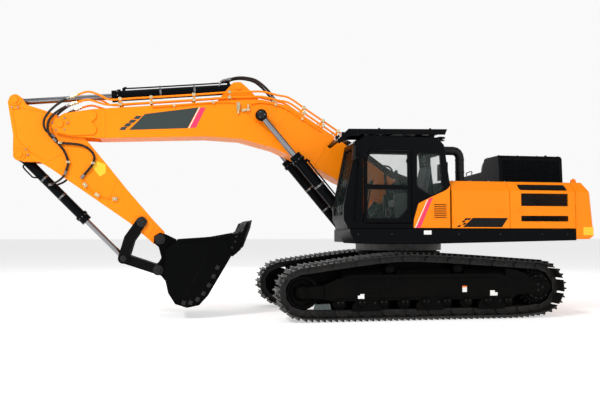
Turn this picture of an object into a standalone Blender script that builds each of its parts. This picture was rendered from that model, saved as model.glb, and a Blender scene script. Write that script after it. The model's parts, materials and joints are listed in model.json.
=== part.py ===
"""A crawler excavator with a one-piece boom, built as separate named parts on real joints.

Metres, +Z up. The machine faces -Y, its left side is +X, and the floor is Z = 0. Shapes are drawn
around the slew axis, and the whole machine is then set SLEW_Y behind the origin, which lies under
the middle of the overall length.
"""

import math

import bmesh
import bpy
from mathutils import Matrix, Vector

# Driving dimensions
SLEW_Y = 1.72            # slew axis behind the origin
GAP = 0.0003             # between faces that touch
HOUSE_HALF = 1.49        # half width of the upper structure
TAIL_RADIUS = 3.73       # slew axis to the back of the counterweight
DECK_Z = 1.56            # top of the swing frame
BODY_TOP = 2.42          # top of the side panels and of the counterweight
REAR_Y = 2.88            # where the counterweight starts
SEAM_Y = 1.595           # between the two left side doors
HOOD_REAR = 2.97         # rear edge of the hood, where it hinges
BODY_FRONT_Y = 0.50      # front edge of the side panels
VENT_Y = (1.81, 2.73)    # front and rear of the openings in the left rear door
VENT_HEIGHTS = ((1.70, 1.80), (1.975, 2.20))

# Undercarriage
GAUGE_HALF = 1.295       # slew axis to a track's middle
SHOE_WIDTH = 0.60
CHAIN_WIDTH = 0.22
SHOE_COUNT = 52
GROUSER = 0.045          # how far a shoe's rib stands above its plate
SHOE_PLATE = 0.03
TRACK_DEPTH = 0.18       # rib tip to the rail that the rollers run on
IDLER = (-2.15, 0.485)
IDLER_RADIUS = 0.47      # to the tips of the shoes round it
SPROCKET = (2.13, 0.53)
SPROCKET_RADIUS = 0.49
TOP_RUN = ((-0.67, 1.15), (0.23, 1.15))
BOTTOM_RUN = (-1.80, 1.70)
FRAME_HALF = 0.20        # half width of a track frame
RING_RADIUS = 0.82
RING_Z = (1.17, 1.30)

# Pins of the working equipment at rest, as (Y, Z)
BOOM_FOOT = (0.0, 2.24)
BOOM_CYLINDER_FOOT = (-0.90, 1.47)
BOOM_CYLINDER_EYE = (-2.74, 3.64)
ARM_PIN = (-6.27, 3.40)
ARM_CYLINDER_FOOT = (-3.13, 4.20)
ARM_CYLINDER_EYE = (-7.035, 3.815)
BUCKET_PIN = (-4.53, 1.38)
ROCKER_PIN = (-4.855, 1.69)
LINK_PIN = (-5.165, 1.04)
BUCKET_LINK_PIN = (-4.557, 0.832)
BUCKET_CYLINDER_FOOT = (-6.95, 2.855)

# Widths of the working equipment
BOOM_HALF = 0.29
FORK_INNER = 0.24        # inner face of the boom's fork
ARM_HALF = 0.225
EYE_HALF = 0.085         # half width of a cylinder's eye on the middle plane
SLOT_HALF = 0.095        # half width of the slot that takes such an eye
BOOM_CYLINDER_X = 0.465
LINK_PLATE = (0.235, 0.280)
BUCKET_HALF = 0.75
BUCKET_EAR = (0.290, 0.340)
NOSE_PLATE = (0.300, 0.350)

# Cab
CAB_X = (0.59, 1.46)
CAB_WALL = 0.05
DOOR_Y = (-1.096, -0.23)
DOOR_Z = (1.66, 2.93)
DOOR_OUTER = 1.475

ROUND = 20               # sides of a round piece

PAINTS = {
    "orange_paint": ((1.0, 0.28, 0.02), 0.35, 0.0),
    "black_paint": ((0.02, 0.022, 0.028), 0.45, 0.0),
    "dark_steel": ((0.09, 0.085, 0.08), 0.6, 0.8),
    "chrome_rod": ((0.8, 0.8, 0.8), 0.12, 1.0),
    "cab_glass": ((0.65, 0.8, 0.75), 0.05, 0.0),
    "seat_fabric": ((0.05, 0.05, 0.055), 0.9, 0.0),
    "black_plastic": ((0.03, 0.03, 0.03), 0.6, 0.0),
}


# Shapes, each a closed mesh around the slew axis

def prism(outline, axis, low, high):
    """A closed outline extruded along X, Y or Z. It is drawn in the other two axes, in X, Y, Z order."""
    across = [i for i in range(3) if i != "XYZ".index(axis)]
    mesh = bmesh.new()
    rings = []
    for level in (low, high):
        ring = []
        for point in outline:
            place = [level] * 3
            place[across[0]] = point[0]
            place[across[1]] = point[1]
            ring.append(mesh.verts.new(place))
        rings.append(ring)
    mesh.faces.new(rings[0])
    mesh.faces.new(rings[1])
    count = len(outline)
    for i in range(count):
        j = (i + 1) % count
        mesh.faces.new((rings[0][i], rings[0][j], rings[1][j], rings[1][i]))
    bmesh.ops.recalc_face_normals(mesh, faces=mesh.faces)
    return mesh


def box(low, high):
    corners = [(low[0], low[1]), (high[0], low[1]), (high[0], high[1]), (low[0], high[1])]
    return prism(corners, "Z", low[2], high[2])


def disc(axis, centre, radius, low, high, sides=ROUND):
    """A cylinder along an axis. Its centre is given in the other two axes."""
    outline = []
    for i in range(sides):
        turn = 2 * math.pi * (i + 0.5) / sides
        outline.append((centre[0] + radius * math.cos(turn), centre[1] + radius * math.sin(turn)))
    return prism(outline, axis, low, high)


def rod(start, end, radius, sides=ROUND):
    """A cylinder between two points in space."""
    start = Vector(start)
    end = Vector(end)
    mesh = bmesh.new()
    middle = Matrix.Translation((start + end) / 2)
    turn = (end - start).to_track_quat("Z", "X").to_matrix().to_4x4()
    bmesh.ops.create_cone(mesh, cap_ends=True, segments=sides, radius1=radius, radius2=radius,
                          depth=(end - start).length, matrix=middle @ turn)
    return mesh


def tube(points, radius, sides=12):
    """A round bar or pipe along a line of points, mitred at each bend."""
    points = [Vector(point) for point in points]
    mesh = bmesh.new()
    rings = []
    for number, point in enumerate(points):
        before = points[max(number - 1, 0)]
        after = points[min(number + 1, len(points) - 1)]
        heading = (after - before).normalized()
        across = heading.cross(Vector((0.13, 0.29, 0.95))).normalized()
        if rings:
            across = (last_across - heading * last_across.dot(heading)).normalized()
        last_across = across
        other = heading.cross(across)
        ring = []
        for i in range(sides):
            turn = 2 * math.pi * i / sides
            ring.append(mesh.verts.new(point + radius * (math.cos(turn) * across + math.sin(turn) * other)))
        rings.append(ring)
    for ring, following in zip(rings, rings[1:]):
        for i in range(sides):
            j = (i + 1) % sides
            mesh.faces.new((ring[i], ring[j], following[j], following[i]))
    mesh.faces.new(rings[0])
    mesh.faces.new(rings[-1])
    bmesh.ops.recalc_face_normals(mesh, faces=mesh.faces)
    return mesh


def loft(rings):
    """A closed mesh through rings of points that match one to one."""
    mesh = bmesh.new()
    made = [[mesh.verts.new(point) for point in ring] for ring in rings]
    for ring, following in zip(made, made[1:]):
        for i in range(len(ring)):
            j = (i + 1) % len(ring)
            mesh.faces.new((ring[i], ring[j], following[j], following[i]))
    mesh.faces.new(made[0])
    mesh.faces.new(made[-1])
    bmesh.ops.recalc_face_normals(mesh, faces=mesh.faces)
    return mesh


def toward(start, end, length):
    """The point that lies this far from start on the way to end, in the (Y, Z) plane."""
    start = Vector(start)
    return start + (Vector(end) - start).normalized() * length


def at_x(x, point):
    return (x, point[0], point[1])


def arc(centre, radius, first, last, steps):
    """Points on a circle, from one angle to another in degrees."""
    points = []
    for i in range(steps + 1):
        turn = math.radians(first + (last - first) * i / steps)
        points.append((centre[0] + radius * math.cos(turn), centre[1] + radius * math.sin(turn)))
    return points


def mirrored(shape, *sizes):
    """The same shape on the left and on the right, where shape takes a side of +1 or -1."""
    return [shape(side, *sizes) for side in (1, -1)]


def side_prism(outline, side, near, far):
    """A (Y, Z) outline extruded between two distances from the middle plane, on one side of it."""
    low, high = sorted((side * near, side * far))
    return prism(outline, "X", low, high)


def side_disc(centre, radius, side, near, far, sides=ROUND):
    low, high = sorted((side * near, side * far))
    return disc("X", centre, radius, low, high, sides)


# Bodies and objects

class Body:
    """A group of parts that moves as one, hung on an empty on its joint's axis."""

    def __init__(self, name, parent=None, pivot=(0, 0, 0)):
        self.pivot = Vector(pivot)
        self.empty = bpy.data.objects.new(name + "_axis", None)
        bpy.context.scene.collection.objects.link(self.empty)
        if parent is None:
            self.empty.location = (0, SLEW_Y, 0)
        else:
            self.empty.parent = parent.empty
            self.empty.location = self.pivot - parent.pivot


def make_material(name):
    colour, roughness, metallic = PAINTS[name]
    material = bpy.data.materials.new(name)
    material.use_nodes = True
    shader = material.node_tree.nodes["Principled BSDF"]
    shader.inputs["Base Color"].default_value = (*colour, 1)
    shader.inputs["Roughness"].default_value = roughness
    shader.inputs["Metallic"].default_value = metallic
    material.diffuse_color = (*colour, 1)
    return material


def clear_scene():
    for leftover in list(bpy.data.objects):
        bpy.data.objects.remove(leftover, do_unlink=True)


def object_from(name, shape, body, collection):
    """An object in its body's own axes, from a shape drawn around the slew axis."""
    bmesh.ops.translate(shape, verts=shape.verts, vec=-body.pivot)
    mesh = bpy.data.meshes.new(name)
    shape.to_mesh(mesh)
    shape.free()
    made = bpy.data.objects.new(name, mesh)
    made.parent = body.empty
    collection.objects.link(made)
    return made


def helpers(name, shapes, body):
    """A collection of shapes that a Boolean reads and a render leaves out."""
    group = bpy.data.collections.new(name)
    group.hide_render = True
    bpy.context.scene.collection.children.link(group)
    for number, shape in enumerate(shapes):
        made = object_from(f"{name}_{number}", shape, body, group)
        made.hide_render = True
        made.display_type = "WIRE"
    return group


def add_part(name, body, paint, shapes, cuts=(), smooth=False):
    """One named part: its shapes joined, its cuts taken away."""
    made = object_from(name, shapes[0], body, bpy.context.scene.collection)
    made.data.materials.append(bpy.data.materials[paint])
    for operation, others in (("UNION", shapes[1:]), ("DIFFERENCE", cuts)):
        if not others:
            continue
        modifier = made.modifiers.new(operation.lower(), "BOOLEAN")
        modifier.operation = operation
        modifier.operand_type = "COLLECTION"
        modifier.solver = "EXACT"
        modifier.collection = helpers(f"{name}_{operation.lower()}", others, body)
    if smooth:
        made.data.shade_smooth()
        made.data.set_sharp_from_angle(angle=math.radians(35))
    return made


# Undercarriage

def track_route(depth):
    """The loop of a track at some depth under the shoes' tips, as (Y, Z) points."""
    idler = arc(IDLER, IDLER_RADIUS - depth, 268, 100, 12)
    sprocket = arc(SPROCKET, SPROCKET_RADIUS - depth, 86, -88, 12)
    top = [(y, z - depth) for y, z in TOP_RUN]
    bottom = [(BOTTOM_RUN[1], depth), (BOTTOM_RUN[0], depth)]
    return idler + top + sprocket + bottom


def locate(route, share):
    """Where a share of the way round a closed route lies: which stretch, and how far along it."""
    points = [Vector(point) for point in route]
    lengths = [(b - a).length for a, b in zip(points, points[1:] + points[:1])]
    rest = share * sum(lengths)
    for number, length in enumerate(lengths):
        if rest <= length:
            return number, rest / length
        rest -= length
    return len(lengths) - 1, 1.0


def place_on(route, number, part):
    return Vector(route[number]).lerp(Vector(route[(number + 1) % len(route)]), part)


def track_shape(side):
    """A fixed loop of shoes on a narrower chain, as a T section carried round the route."""
    centre = side * GAUGE_HALF
    shoe = SHOE_WIDTH / 2
    chain = CHAIN_WIDTH / 2
    tips = track_route(0)
    plates = track_route(GROUSER)
    lower = track_route(GROUSER + SHOE_PLATE)
    rails = track_route(TRACK_DEPTH)
    mesh = bmesh.new()
    rings = []
    for number in range(SHOE_COUNT):
        for part, outer in ((0.0, plates), (0.7, tips), (0.95, tips)):
            spot = locate(tips, (number + part) / SHOE_COUNT)
            tip = place_on(outer, *spot)
            low = place_on(lower, *spot)
            rail = place_on(rails, *spot)
            section = [(shoe, tip), (shoe, low), (chain, low), (chain, rail),
                       (-chain, rail), (-chain, low), (-shoe, low), (-shoe, tip)]
            rings.append([mesh.verts.new((centre + x, point[0], point[1])) for x, point in section])
    for ring, after in zip(rings, rings[1:] + rings[:1]):
        for i in range(len(ring)):
            j = (i + 1) % len(ring)
            mesh.faces.new((ring[i], ring[j], after[j], after[i]))
    bmesh.ops.recalc_face_normals(mesh, faces=mesh.faces)
    return mesh


def build_track_frame(side, name, body):
    """A box beam with its bottom and top rollers and the idler's yoke."""
    low = side * GAUGE_HALF - FRAME_HALF
    high = side * GAUGE_HALF + FRAME_HALF
    beam = [(-1.62, 0.34), (1.62, 0.34), (1.72, 0.42), (1.72, 0.66), (1.35, 0.78), (-1.35, 0.78),
            (-1.78, 0.62), (-1.78, 0.38)]
    shapes = [prism(beam, "X", low, high)]
    rail = side * GAUGE_HALF
    for number in range(9):
        y = -1.52 + number * 0.38
        shapes.append(disc("X", (y, TRACK_DEPTH + 0.115), 0.112, rail - 0.16, rail + 0.16, 14))
    for y in (-0.62, 0.62):
        top = 0.86
        shapes.append(disc("X", (y, top), 0.08, rail - 0.14, rail + 0.14, 14))
        shapes.append(box((rail - 0.05, y - 0.06, 0.70), (rail + 0.05, y + 0.06, top)))
    add_part(name, body, "black_paint", shapes)


def build_undercarriage(body):
    half = [(0.45, -1.05), (1.095 - GAP, -1.55), (1.095 - GAP, -0.95), (0.70, -0.45)]
    half += [(x, -y) for x, y in reversed(half)]
    outline = half + [(-x, y) for x, y in reversed(half)]
    shapes = [prism(outline, "Z", 0.50, 0.74), disc("Z", (0, 0), 0.74, 0.46, RING_Z[0] - GAP, 32)]
    add_part("carbody", body, "black_paint", shapes)
    ring = [disc("Z", (0, 0), RING_RADIUS, RING_Z[0], RING_Z[1] - 0.006, 40)]
    add_part("slew_ring", body, "dark_steel", ring)
    for side, word in ((1, "left"), (-1, "right")):
        rail = side * GAUGE_HALF
        build_track_frame(side, f"track_frame_{word}", body)
        add_part(f"track_{word}", body, "dark_steel", [track_shape(side)])
        rim = IDLER_RADIUS - TRACK_DEPTH - 0.012
        idler = [disc("X", IDLER, rim, rail - 0.11, rail + 0.11, 32),
                 disc("X", IDLER, 0.12, rail - 0.17, rail + 0.17)]
        add_part(f"idler_{word}", body, "black_paint", idler, smooth=True)
        rim = SPROCKET_RADIUS - TRACK_DEPTH - 0.012
        wheel = [disc("X", SPROCKET, rim, rail - 0.08, rail + 0.08, 32),
                 side_disc(SPROCKET, 0.25, side, GAUGE_HALF - 0.26, GAUGE_HALF + 0.22, 28)]
        add_part(f"final_drive_{word}", body, "black_paint", wheel, smooth=True)


# Upper structure

def build_swing_frame(body):
    side = [(-1.34, 1.50), (-1.24, 1.31), (0.20, 1.305), (REAR_Y - GAP, 1.36), (REAR_Y - GAP, DECK_Z),
            (-1.34, DECK_Z)]
    notches = [box((-0.62, -1.60, 1.2), (0.62, -0.60, 1.7)), box((-1.60, -1.60, 1.2), (-0.60, -0.92, 1.7))]
    nose = [(0.46, DECK_Z + GAP), (0.46, 1.80), (0.22, 2.42), (0.12, 2.50), (-0.12, 2.50), (-0.24, 2.40),
            (-0.42, 2.06), (-0.78, 1.66), (-1.02, 1.60), (-1.06, 1.42), (-1.00, 1.33), (-0.60 - GAP, 1.32),
            (-0.60 - GAP, DECK_Z + GAP)]
    shapes = [prism(side, "X", -HOUSE_HALF, HOUSE_HALF),
              disc("Z", (0, 0), RING_RADIUS - 0.02, RING_Z[1], 1.40, 40)]
    add_part("swing_frame", body, "black_paint", shapes, notches)
    for side, word in ((1, "left"), (-1, "right")):
        add_part(f"boom_bracket_{word}", body, "black_paint", [side_prism(nose, side, *NOSE_PLATE)])


def build_counterweight(body):
    """A cast weight with a curved back, lofted from its plan at four heights."""
    corner_y = 3.21

    def plan(height, side_inset, rear_inset):
        half = HOUSE_HALF - side_inset
        sagitta = TAIL_RADIUS - corner_y
        radius = (HOUSE_HALF ** 2 + sagitta ** 2) / (2 * sagitta)
        centre = TAIL_RADIUS - radius
        sweep = math.degrees(math.asin(half / (radius - rear_inset)))
        points = arc((0, centre), radius - rear_inset, 90 - sweep, 90 + sweep, 20)
        points += [(-half, REAR_Y), (half, REAR_Y)]
        return [(x, y, height) for x, y in points]

    levels = ((1.38, 0.05, 0.07), (1.44, 0.0, 0.0), (2.24, 0.0, 0.06), (2.26, 0.015, 0.07),
              (BODY_TOP, 0.18, 0.20))
    add_part("counterweight", body, "orange_paint", [loft([plan(*level) for level in levels])])


def build_panels(body):
    """The deck over the engine bay, the tanks on the right and the tool box in front of them."""
    inner = HOUSE_HALF - 0.19
    deck = [box((-0.735, BODY_FRONT_Y + 0.02, BODY_TOP - 0.05), (inner, REAR_Y - 0.005, BODY_TOP)),
            box((-inner, 1.70, BODY_TOP - 0.05), (0.0, REAR_Y - 0.005, BODY_TOP)),
            box((-0.735, BODY_FRONT_Y + 0.02, DECK_Z + GAP), (inner, BODY_FRONT_Y + 0.06, BODY_TOP)),
            box((-inner + 0.02, 1.70, DECK_Z + GAP), (-0.70, 1.74, BODY_TOP - 0.02)),
            box((-0.70, BODY_FRONT_Y + 0.03, DECK_Z + GAP), (-0.66, 1.74, BODY_TOP - 0.02)),
            box((-0.94, 1.60, BODY_TOP - 0.02), (0.94, 1.66, BODY_TOP + 0.02))]
    hatch = [box((-0.84, 1.74, 2.2), (0.84, 2.80, 2.6))]
    add_part("engine_deck", body, "black_paint", deck, hatch)
    tank = [(-HOUSE_HALF, DECK_Z + GAP), (-HOUSE_HALF, 2.26), (-HOUSE_HALF + 0.14, 2.40), (-0.75, 2.40),
            (-0.75, DECK_Z + GAP)]
    add_part("fuel_tank", body, "orange_paint", [prism(tank, "Y", -0.62, 0.53)])
    add_part("hydraulic_tank", body, "orange_paint", [prism(tank, "Y", 0.54, 1.685)])
    chest = [box((-HOUSE_HALF, -0.90, DECK_Z + GAP), (-0.66, -0.63, 2.14))]
    add_part("tool_box", body, "black_paint", chest)
    engine = [box((-0.66, 1.85, DECK_Z + GAP), (0.64, 2.55, 2.62))]
    add_part("engine_block", body, "dark_steel", engine)
    bend = [(y, z) for y, z in arc((0.85, 2.90), 0.13, 0, 90, 4)]
    route = [(0.98, BODY_TOP + GAP)] + bend + [(0.50, 3.03)]
    duct = [tube([(0.72, y, z) for y, z in route], 0.082, 16),
            disc("Z", (0.72, 0.98), 0.12, BODY_TOP + GAP, 2.46)]
    add_part("air_intake_duct", body, "black_plastic", duct)
    pipe = [disc("Z", (-1.04, 2.30), 0.065, BODY_TOP + GAP, 2.86)]
    add_part("exhaust_pipe", body, "dark_steel", pipe)


def side_door_shape(side, front, rear):
    """A side panel that bends in at its top, where it meets the deck."""
    outer = HOUSE_HALF
    sheet = 0.04
    profile = [(outer, DECK_Z + 0.015), (outer, 2.24), (outer - 0.18, BODY_TOP),
               (outer - 0.18, BODY_TOP - 0.055), (outer - sheet, 2.225), (outer - sheet, DECK_Z + 0.015)]
    return prism([(side * x, z) for x, z in profile], "Y", front, rear)


def hood_shapes():
    """The engine's lid: low on the right, with the raised box of the cooler on the left."""
    low = BODY_TOP + 0.025
    sheet = 0.025
    section = [(-0.92, low), (-0.92, 2.64), (-0.88, 2.67), (0.15, 2.70), (0.26, 2.92), (0.32, 2.95),
               (0.86, 2.95), (0.91, 2.90), (0.93, low)]
    inside = [(-0.92 + sheet, low - 0.1), (-0.92 + sheet, 2.64), (0.17, 2.70 - sheet), (0.29, 2.95 - sheet),
              (0.86, 2.95 - sheet), (0.93 - sheet, low - 0.1)]
    shell = prism(section, "Y", 1.68, HOOD_REAR)
    return [shell], [prism(inside, "Y", 1.68 + sheet, HOOD_REAR - sheet)]


def build_cab(body):
    left, right = CAB_X[1], CAB_X[0]
    base = DECK_Z + GAP
    side = [(-1.36, base), (-1.44, 1.72), (-1.44, 1.95), (-1.21, 3.06), (-1.06, 3.17), (0.26, 3.17),
            (0.38, 3.04), (0.484, 2.35), (0.484, base)]
    room = [(-1.33, base + 0.07), (-1.385, 1.76), (-1.385, 1.95), (-1.16, 3.03), (-1.04, 3.11), (0.23, 3.11),
            (0.325, 3.0), (0.43, 2.35), (0.43, base + 0.07)]
    doorway = [(DOOR_Y[0], DOOR_Z[0]), (DOOR_Y[0], 2.80), (DOOR_Y[0] + 0.12, DOOR_Z[1]),
               (DOOR_Y[1], DOOR_Z[1]), (DOOR_Y[1], DOOR_Z[0])]
    rear_side = [(-0.13, 2.88), (-0.13, 2.30), (0.10, 2.16), (0.34, 2.16), (0.30, 2.88)]
    front_side = [(-1.05, 1.78), (-1.05, 2.96), (0.22, 2.96), (0.32, 1.98), (0.10, 1.78)]
    cuts = [
        prism(room, "X", right + CAB_WALL, left - CAB_WALL),
        prism(doorway, "X", left - 0.12, left + 0.12),
        prism(rear_side, "X", left - 0.12, left + 0.12),
        prism(front_side, "X", right - 0.12, right + 0.12),
        box((right + 0.09, -1.70, 1.80), (left - 0.09, -1.05, 2.98)),
        box((right + 0.09, 0.20, 2.16), (left - 0.09, 0.70, 2.90)),
        box((right + 0.16, -0.95, 3.0), (left - 0.16, -0.35, 3.4)),
    ]
    add_part("cab", body, "black_paint", [prism(side, "X", right, left)], cuts)
    pane = 0.008
    middle = left - 0.025
    add_part("cab_window_left", body, "cab_glass", [prism(shrunk(rear_side), "X", middle, middle + pane)])
    middle = right + 0.02
    add_part("cab_window_right", body, "cab_glass", [prism(shrunk(front_side), "X", middle, middle + pane)])
    slope = [(-1.415, 1.803), (-1.415, 1.95), (-1.202, 2.977), (-1.194, 2.977), (-1.407, 1.95),
             (-1.407, 1.803)]
    add_part("windscreen", body, "cab_glass", [prism(slope, "X", right + 0.091, left - 0.091)])
    slope = [(0.462, 2.165), (0.454, 2.165), (0.454, 2.35), (0.374, 2.895), (0.382, 2.895), (0.462, 2.35)]
    add_part("cab_window_rear", body, "cab_glass", [prism(slope, "X", right + 0.091, left - 0.091)])
    hatch = [box((right + 0.161, -0.949, 3.135), (left - 0.161, -0.351, 3.143))]
    add_part("roof_window", body, "cab_glass", hatch)
    build_cab_inside(body, base + 0.07 + GAP)
    build_roof_guard(body)


def shrunk(outline, by=0.001):
    """A convex outline a little smaller about its middle, so that a pane clears its frame."""
    middle = sum((Vector(point) for point in outline), Vector((0, 0))) / len(outline)
    return [middle + (Vector(point) - middle) * (1 - 2 * by) for point in outline]


def build_cab_inside(body, floor):
    seat = [box((0.84, -0.36, floor), (1.20, 0.02, floor + 0.34)),
            box((0.76, -0.46, floor + 0.30), (1.28, 0.08, floor + 0.46)),
            prism([(0.00, floor + 0.40), (0.14, floor + 0.40), (0.26, floor + 1.06), (0.14, floor + 1.08)],
                  "X", 0.78, 1.26)]
    add_part("operator_seat", body, "seat_fabric", seat)
    for word, low, high in (("left", 1.29, 1.395), ("right", 0.645, 0.75)):
        middle = (low + high) / 2
        console = [box((low, -0.50, floor), (high, 0.10, floor + 0.56)),
                   rod((middle, -0.42, floor + 0.50), (middle, -0.46, floor + 0.80), 0.028, 12)]
        add_part(f"console_{word}", body, "black_plastic", console)
    levers = [box((0.88, -1.10, floor), (1.16, -0.90, floor + 0.06))]
    for x in (0.95, 1.09):
        levers.append(rod((x, -0.98, floor + 0.03), (x, -0.84, floor + 0.74), 0.014, 8))
    add_part("travel_levers", body, "black_plastic", levers)


def build_roof_guard(body):
    low, high = 0.67, 1.38
    plate = [(-1.54, 3.07), (-1.33, 3.285), (0.46, 3.325), (0.46, 3.29), (-1.32, 3.25), (-1.51, 3.055)]
    shapes = [prism(plate, "X", low, high)]
    for y in (-0.95, 0.16):
        shapes.append(box((low + 0.02, y, 3.17 + GAP), (low + 0.10, y + 0.08, 3.288)))
        shapes.append(box((high - 0.10, y, 3.17 + GAP), (high - 0.02, y + 0.08, 3.288)))
    add_part("roof_guard", body, "black_paint", shapes)


def build_rails(body):
    """Round handrails beside the steps on the right and on the tank."""
    x = -1.42
    round_front = arc((-0.70, 2.80), 0.14, 180, 90, 3)
    round_rear = arc((0.22, 2.80), 0.14, 90, 0, 3)
    route = [(-0.84, 2.14 + 2 * GAP)] + round_front + round_rear + [(0.36, 2.36)]
    add_part("handrail_right", body, "black_paint", [tube([(x, y, z) for y, z in route], 0.02, 10)])


def build_mirrors(body):
    left_stay = [(CAB_X[1] + 2 * GAP, -1.20, 2.76), (1.50, -1.20, 2.76), (1.53, -1.28, 2.80)]
    right_stay = [(-1.32, -0.84, 2.14 + 2 * GAP), (-1.32, -0.84, 2.74), (-1.42, -0.88, 2.84)]
    plates = {
        "left": (left_stay, (1.475, 1.585), (2.74, 2.99)),
        "right": (right_stay, (-1.52, -1.34), (2.76, 3.06)),
    }
    for word, (stay, across, up) in plates.items():
        y = stay[-1][1]
        shapes = [tube(stay, 0.014, 8), box((across[0], y - 0.02, up[0]), (across[1], y + 0.02, up[1]))]
        add_part(f"mirror_{word}", body, "black_plastic", shapes)


# Working equipment

def build_boom(body):
    side = [(-6.42, 3.36), (-6.36, 3.50), (-6.20, 3.60), (-5.70, 3.69), (-4.20, 3.83), (-3.28, 3.93),
            (-2.70, 3.96), (-2.19, 3.86), (-1.26, 3.26), (-0.20, 2.52), (0.06, 2.46), (0.22, 2.30),
            (0.20, 2.12), (0.04, 2.02), (-0.20, 2.04), (-1.22, 2.46), (-1.85, 2.79), (-2.47, 3.06),
            (-3.09, 3.22), (-3.74, 3.25), (-5.60, 3.17), (-6.10, 3.19), (-6.34, 3.24)]
    bracket = [(-3.62, 3.80), (-3.30, 4.20), (-3.22, 4.29), (-3.08, 4.30), (-2.98, 4.22), (-2.60, 3.84)]
    shapes = [prism(side, "X", -BOOM_HALF, BOOM_HALF)]
    shapes += mirrored(lambda side: side_prism(bracket, side, 0.11, 0.16))
    shapes += mirrored(lambda side: side_disc(BOOM_CYLINDER_EYE, 0.11, side, 0.25, 0.40))
    fork = [box((-FORK_INNER, -6.80, 2.9), (FORK_INNER, -5.60, 4.0))]
    add_part("boom", body, "orange_paint", shapes, fork)


def cylinder_barrel(name, body, foot, eye, length, radius, x=0.0, half=EYE_HALF):
    """A barrel from its foot's eye to its head, bored for the rod. Length is from the foot's pin to the head."""
    head = toward(foot, eye, length)
    start = toward(foot, eye, 0.06)
    shapes = [disc("X", foot, radius + 0.02, x - half, x + half),
              rod(at_x(x, start), at_x(x, head), radius),
              rod(at_x(x, toward(foot, eye, length - 0.14)), at_x(x, head), radius + 0.012)]
    return shapes, head


def build_cylinder(names, barrel_body, rod_body, foot, eye, length, radii, x=0.0, half=EYE_HALF, tail=0.35):
    """A barrel and its rod. The rod's inner end lies in the barrel's bore, tail past the head."""
    barrel, rod_radius = radii
    shapes, head = cylinder_barrel(names[0], barrel_body, foot, eye, length, barrel, x, half)
    bore = rod(at_x(x, toward(foot, eye, 0.215)), at_x(x, toward(foot, eye, length + 0.1)),
               rod_radius + 0.004, 16)
    add_part(names[0], barrel_body, "black_paint", shapes, [bore], smooth=True)
    inner = toward(foot, eye, length - tail)
    shapes = [rod(at_x(x, inner), at_x(x, toward(eye, foot, 0.03)), rod_radius, 16),
              disc("X", eye, rod_radius + 0.045, x - half, x + half)]
    add_part(names[1], rod_body, "chrome_rod", shapes, smooth=True)


def build_arm(body):
    side = [(-7.16, 3.77), (-7.13, 3.87), (-7.03, 3.92), (-6.93, 3.86), (-6.85, 3.74), (-6.39, 3.60),
            (-6.12, 3.46), (-5.80, 3.11), (-5.44, 2.67), (-5.12, 2.27), (-4.63, 1.70), (-4.46, 1.52),
            (-4.42, 1.36), (-4.50, 1.26), (-4.64, 1.30), (-5.06, 1.67), (-5.76, 2.16), (-6.42, 2.62),
            (-6.62, 2.74), (-6.90, 2.74), (-7.04, 2.80), (-7.06, 2.93), (-7.06, 3.20)]
    cuts = [
        box((-SLOT_HALF, -7.4, 3.58), (SLOT_HALF, -6.46, 4.2)),
        prism([(-7.4, 2.5), (-6.50, 2.5), (-6.50, 2.62), (-6.70, 3.02), (-6.80, 3.10), (-7.4, 3.10)], "X",
              -SLOT_HALF, SLOT_HALF),
        disc("X", ROCKER_PIN, 0.06, -0.5, 0.5, 16),
    ]
    add_part("arm", body, "orange_paint", [prism(side, "X", -ARM_HALF, ARM_HALF)], cuts)


def link_outline(start, end, width, bulge=0.0):
    """A bar with round ends between two pins, bowed to one side by bulge."""
    a = Vector(start)
    b = Vector(end)
    along_bar = (b - a).normalized()
    across = Vector((-along_bar.y, along_bar.x))
    heading = math.degrees(math.atan2(along_bar.y, along_bar.x))
    half = width / 2
    middle = (a + b) / 2
    points = arc(a, half, heading + 90, heading + 270, 6)
    points.append(tuple(middle + across * (bulge - half)))
    points += arc(b, half, heading - 90, heading + 90, 6)
    points.append(tuple(middle + across * (bulge + half)))
    return points


def build_linkage(rocker, link):
    plate = link_outline(ROCKER_PIN, LINK_PIN, 0.19, -0.06)
    shapes = [disc("X", ROCKER_PIN, 0.052, -0.26, 0.26, 16)]
    shapes += mirrored(lambda side: side_prism(plate, side, *LINK_PLATE))
    add_part("rocker_arms", rocker, "black_paint", shapes)
    plate = link_outline(LINK_PIN, BUCKET_LINK_PIN, 0.17)
    shapes = [disc("X", BUCKET_LINK_PIN, 0.085, -0.225, 0.225)]
    shapes += mirrored(lambda side: side_prism(plate, side, 0.12, 0.225))
    add_part("bucket_link", link, "black_paint", shapes)


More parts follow.
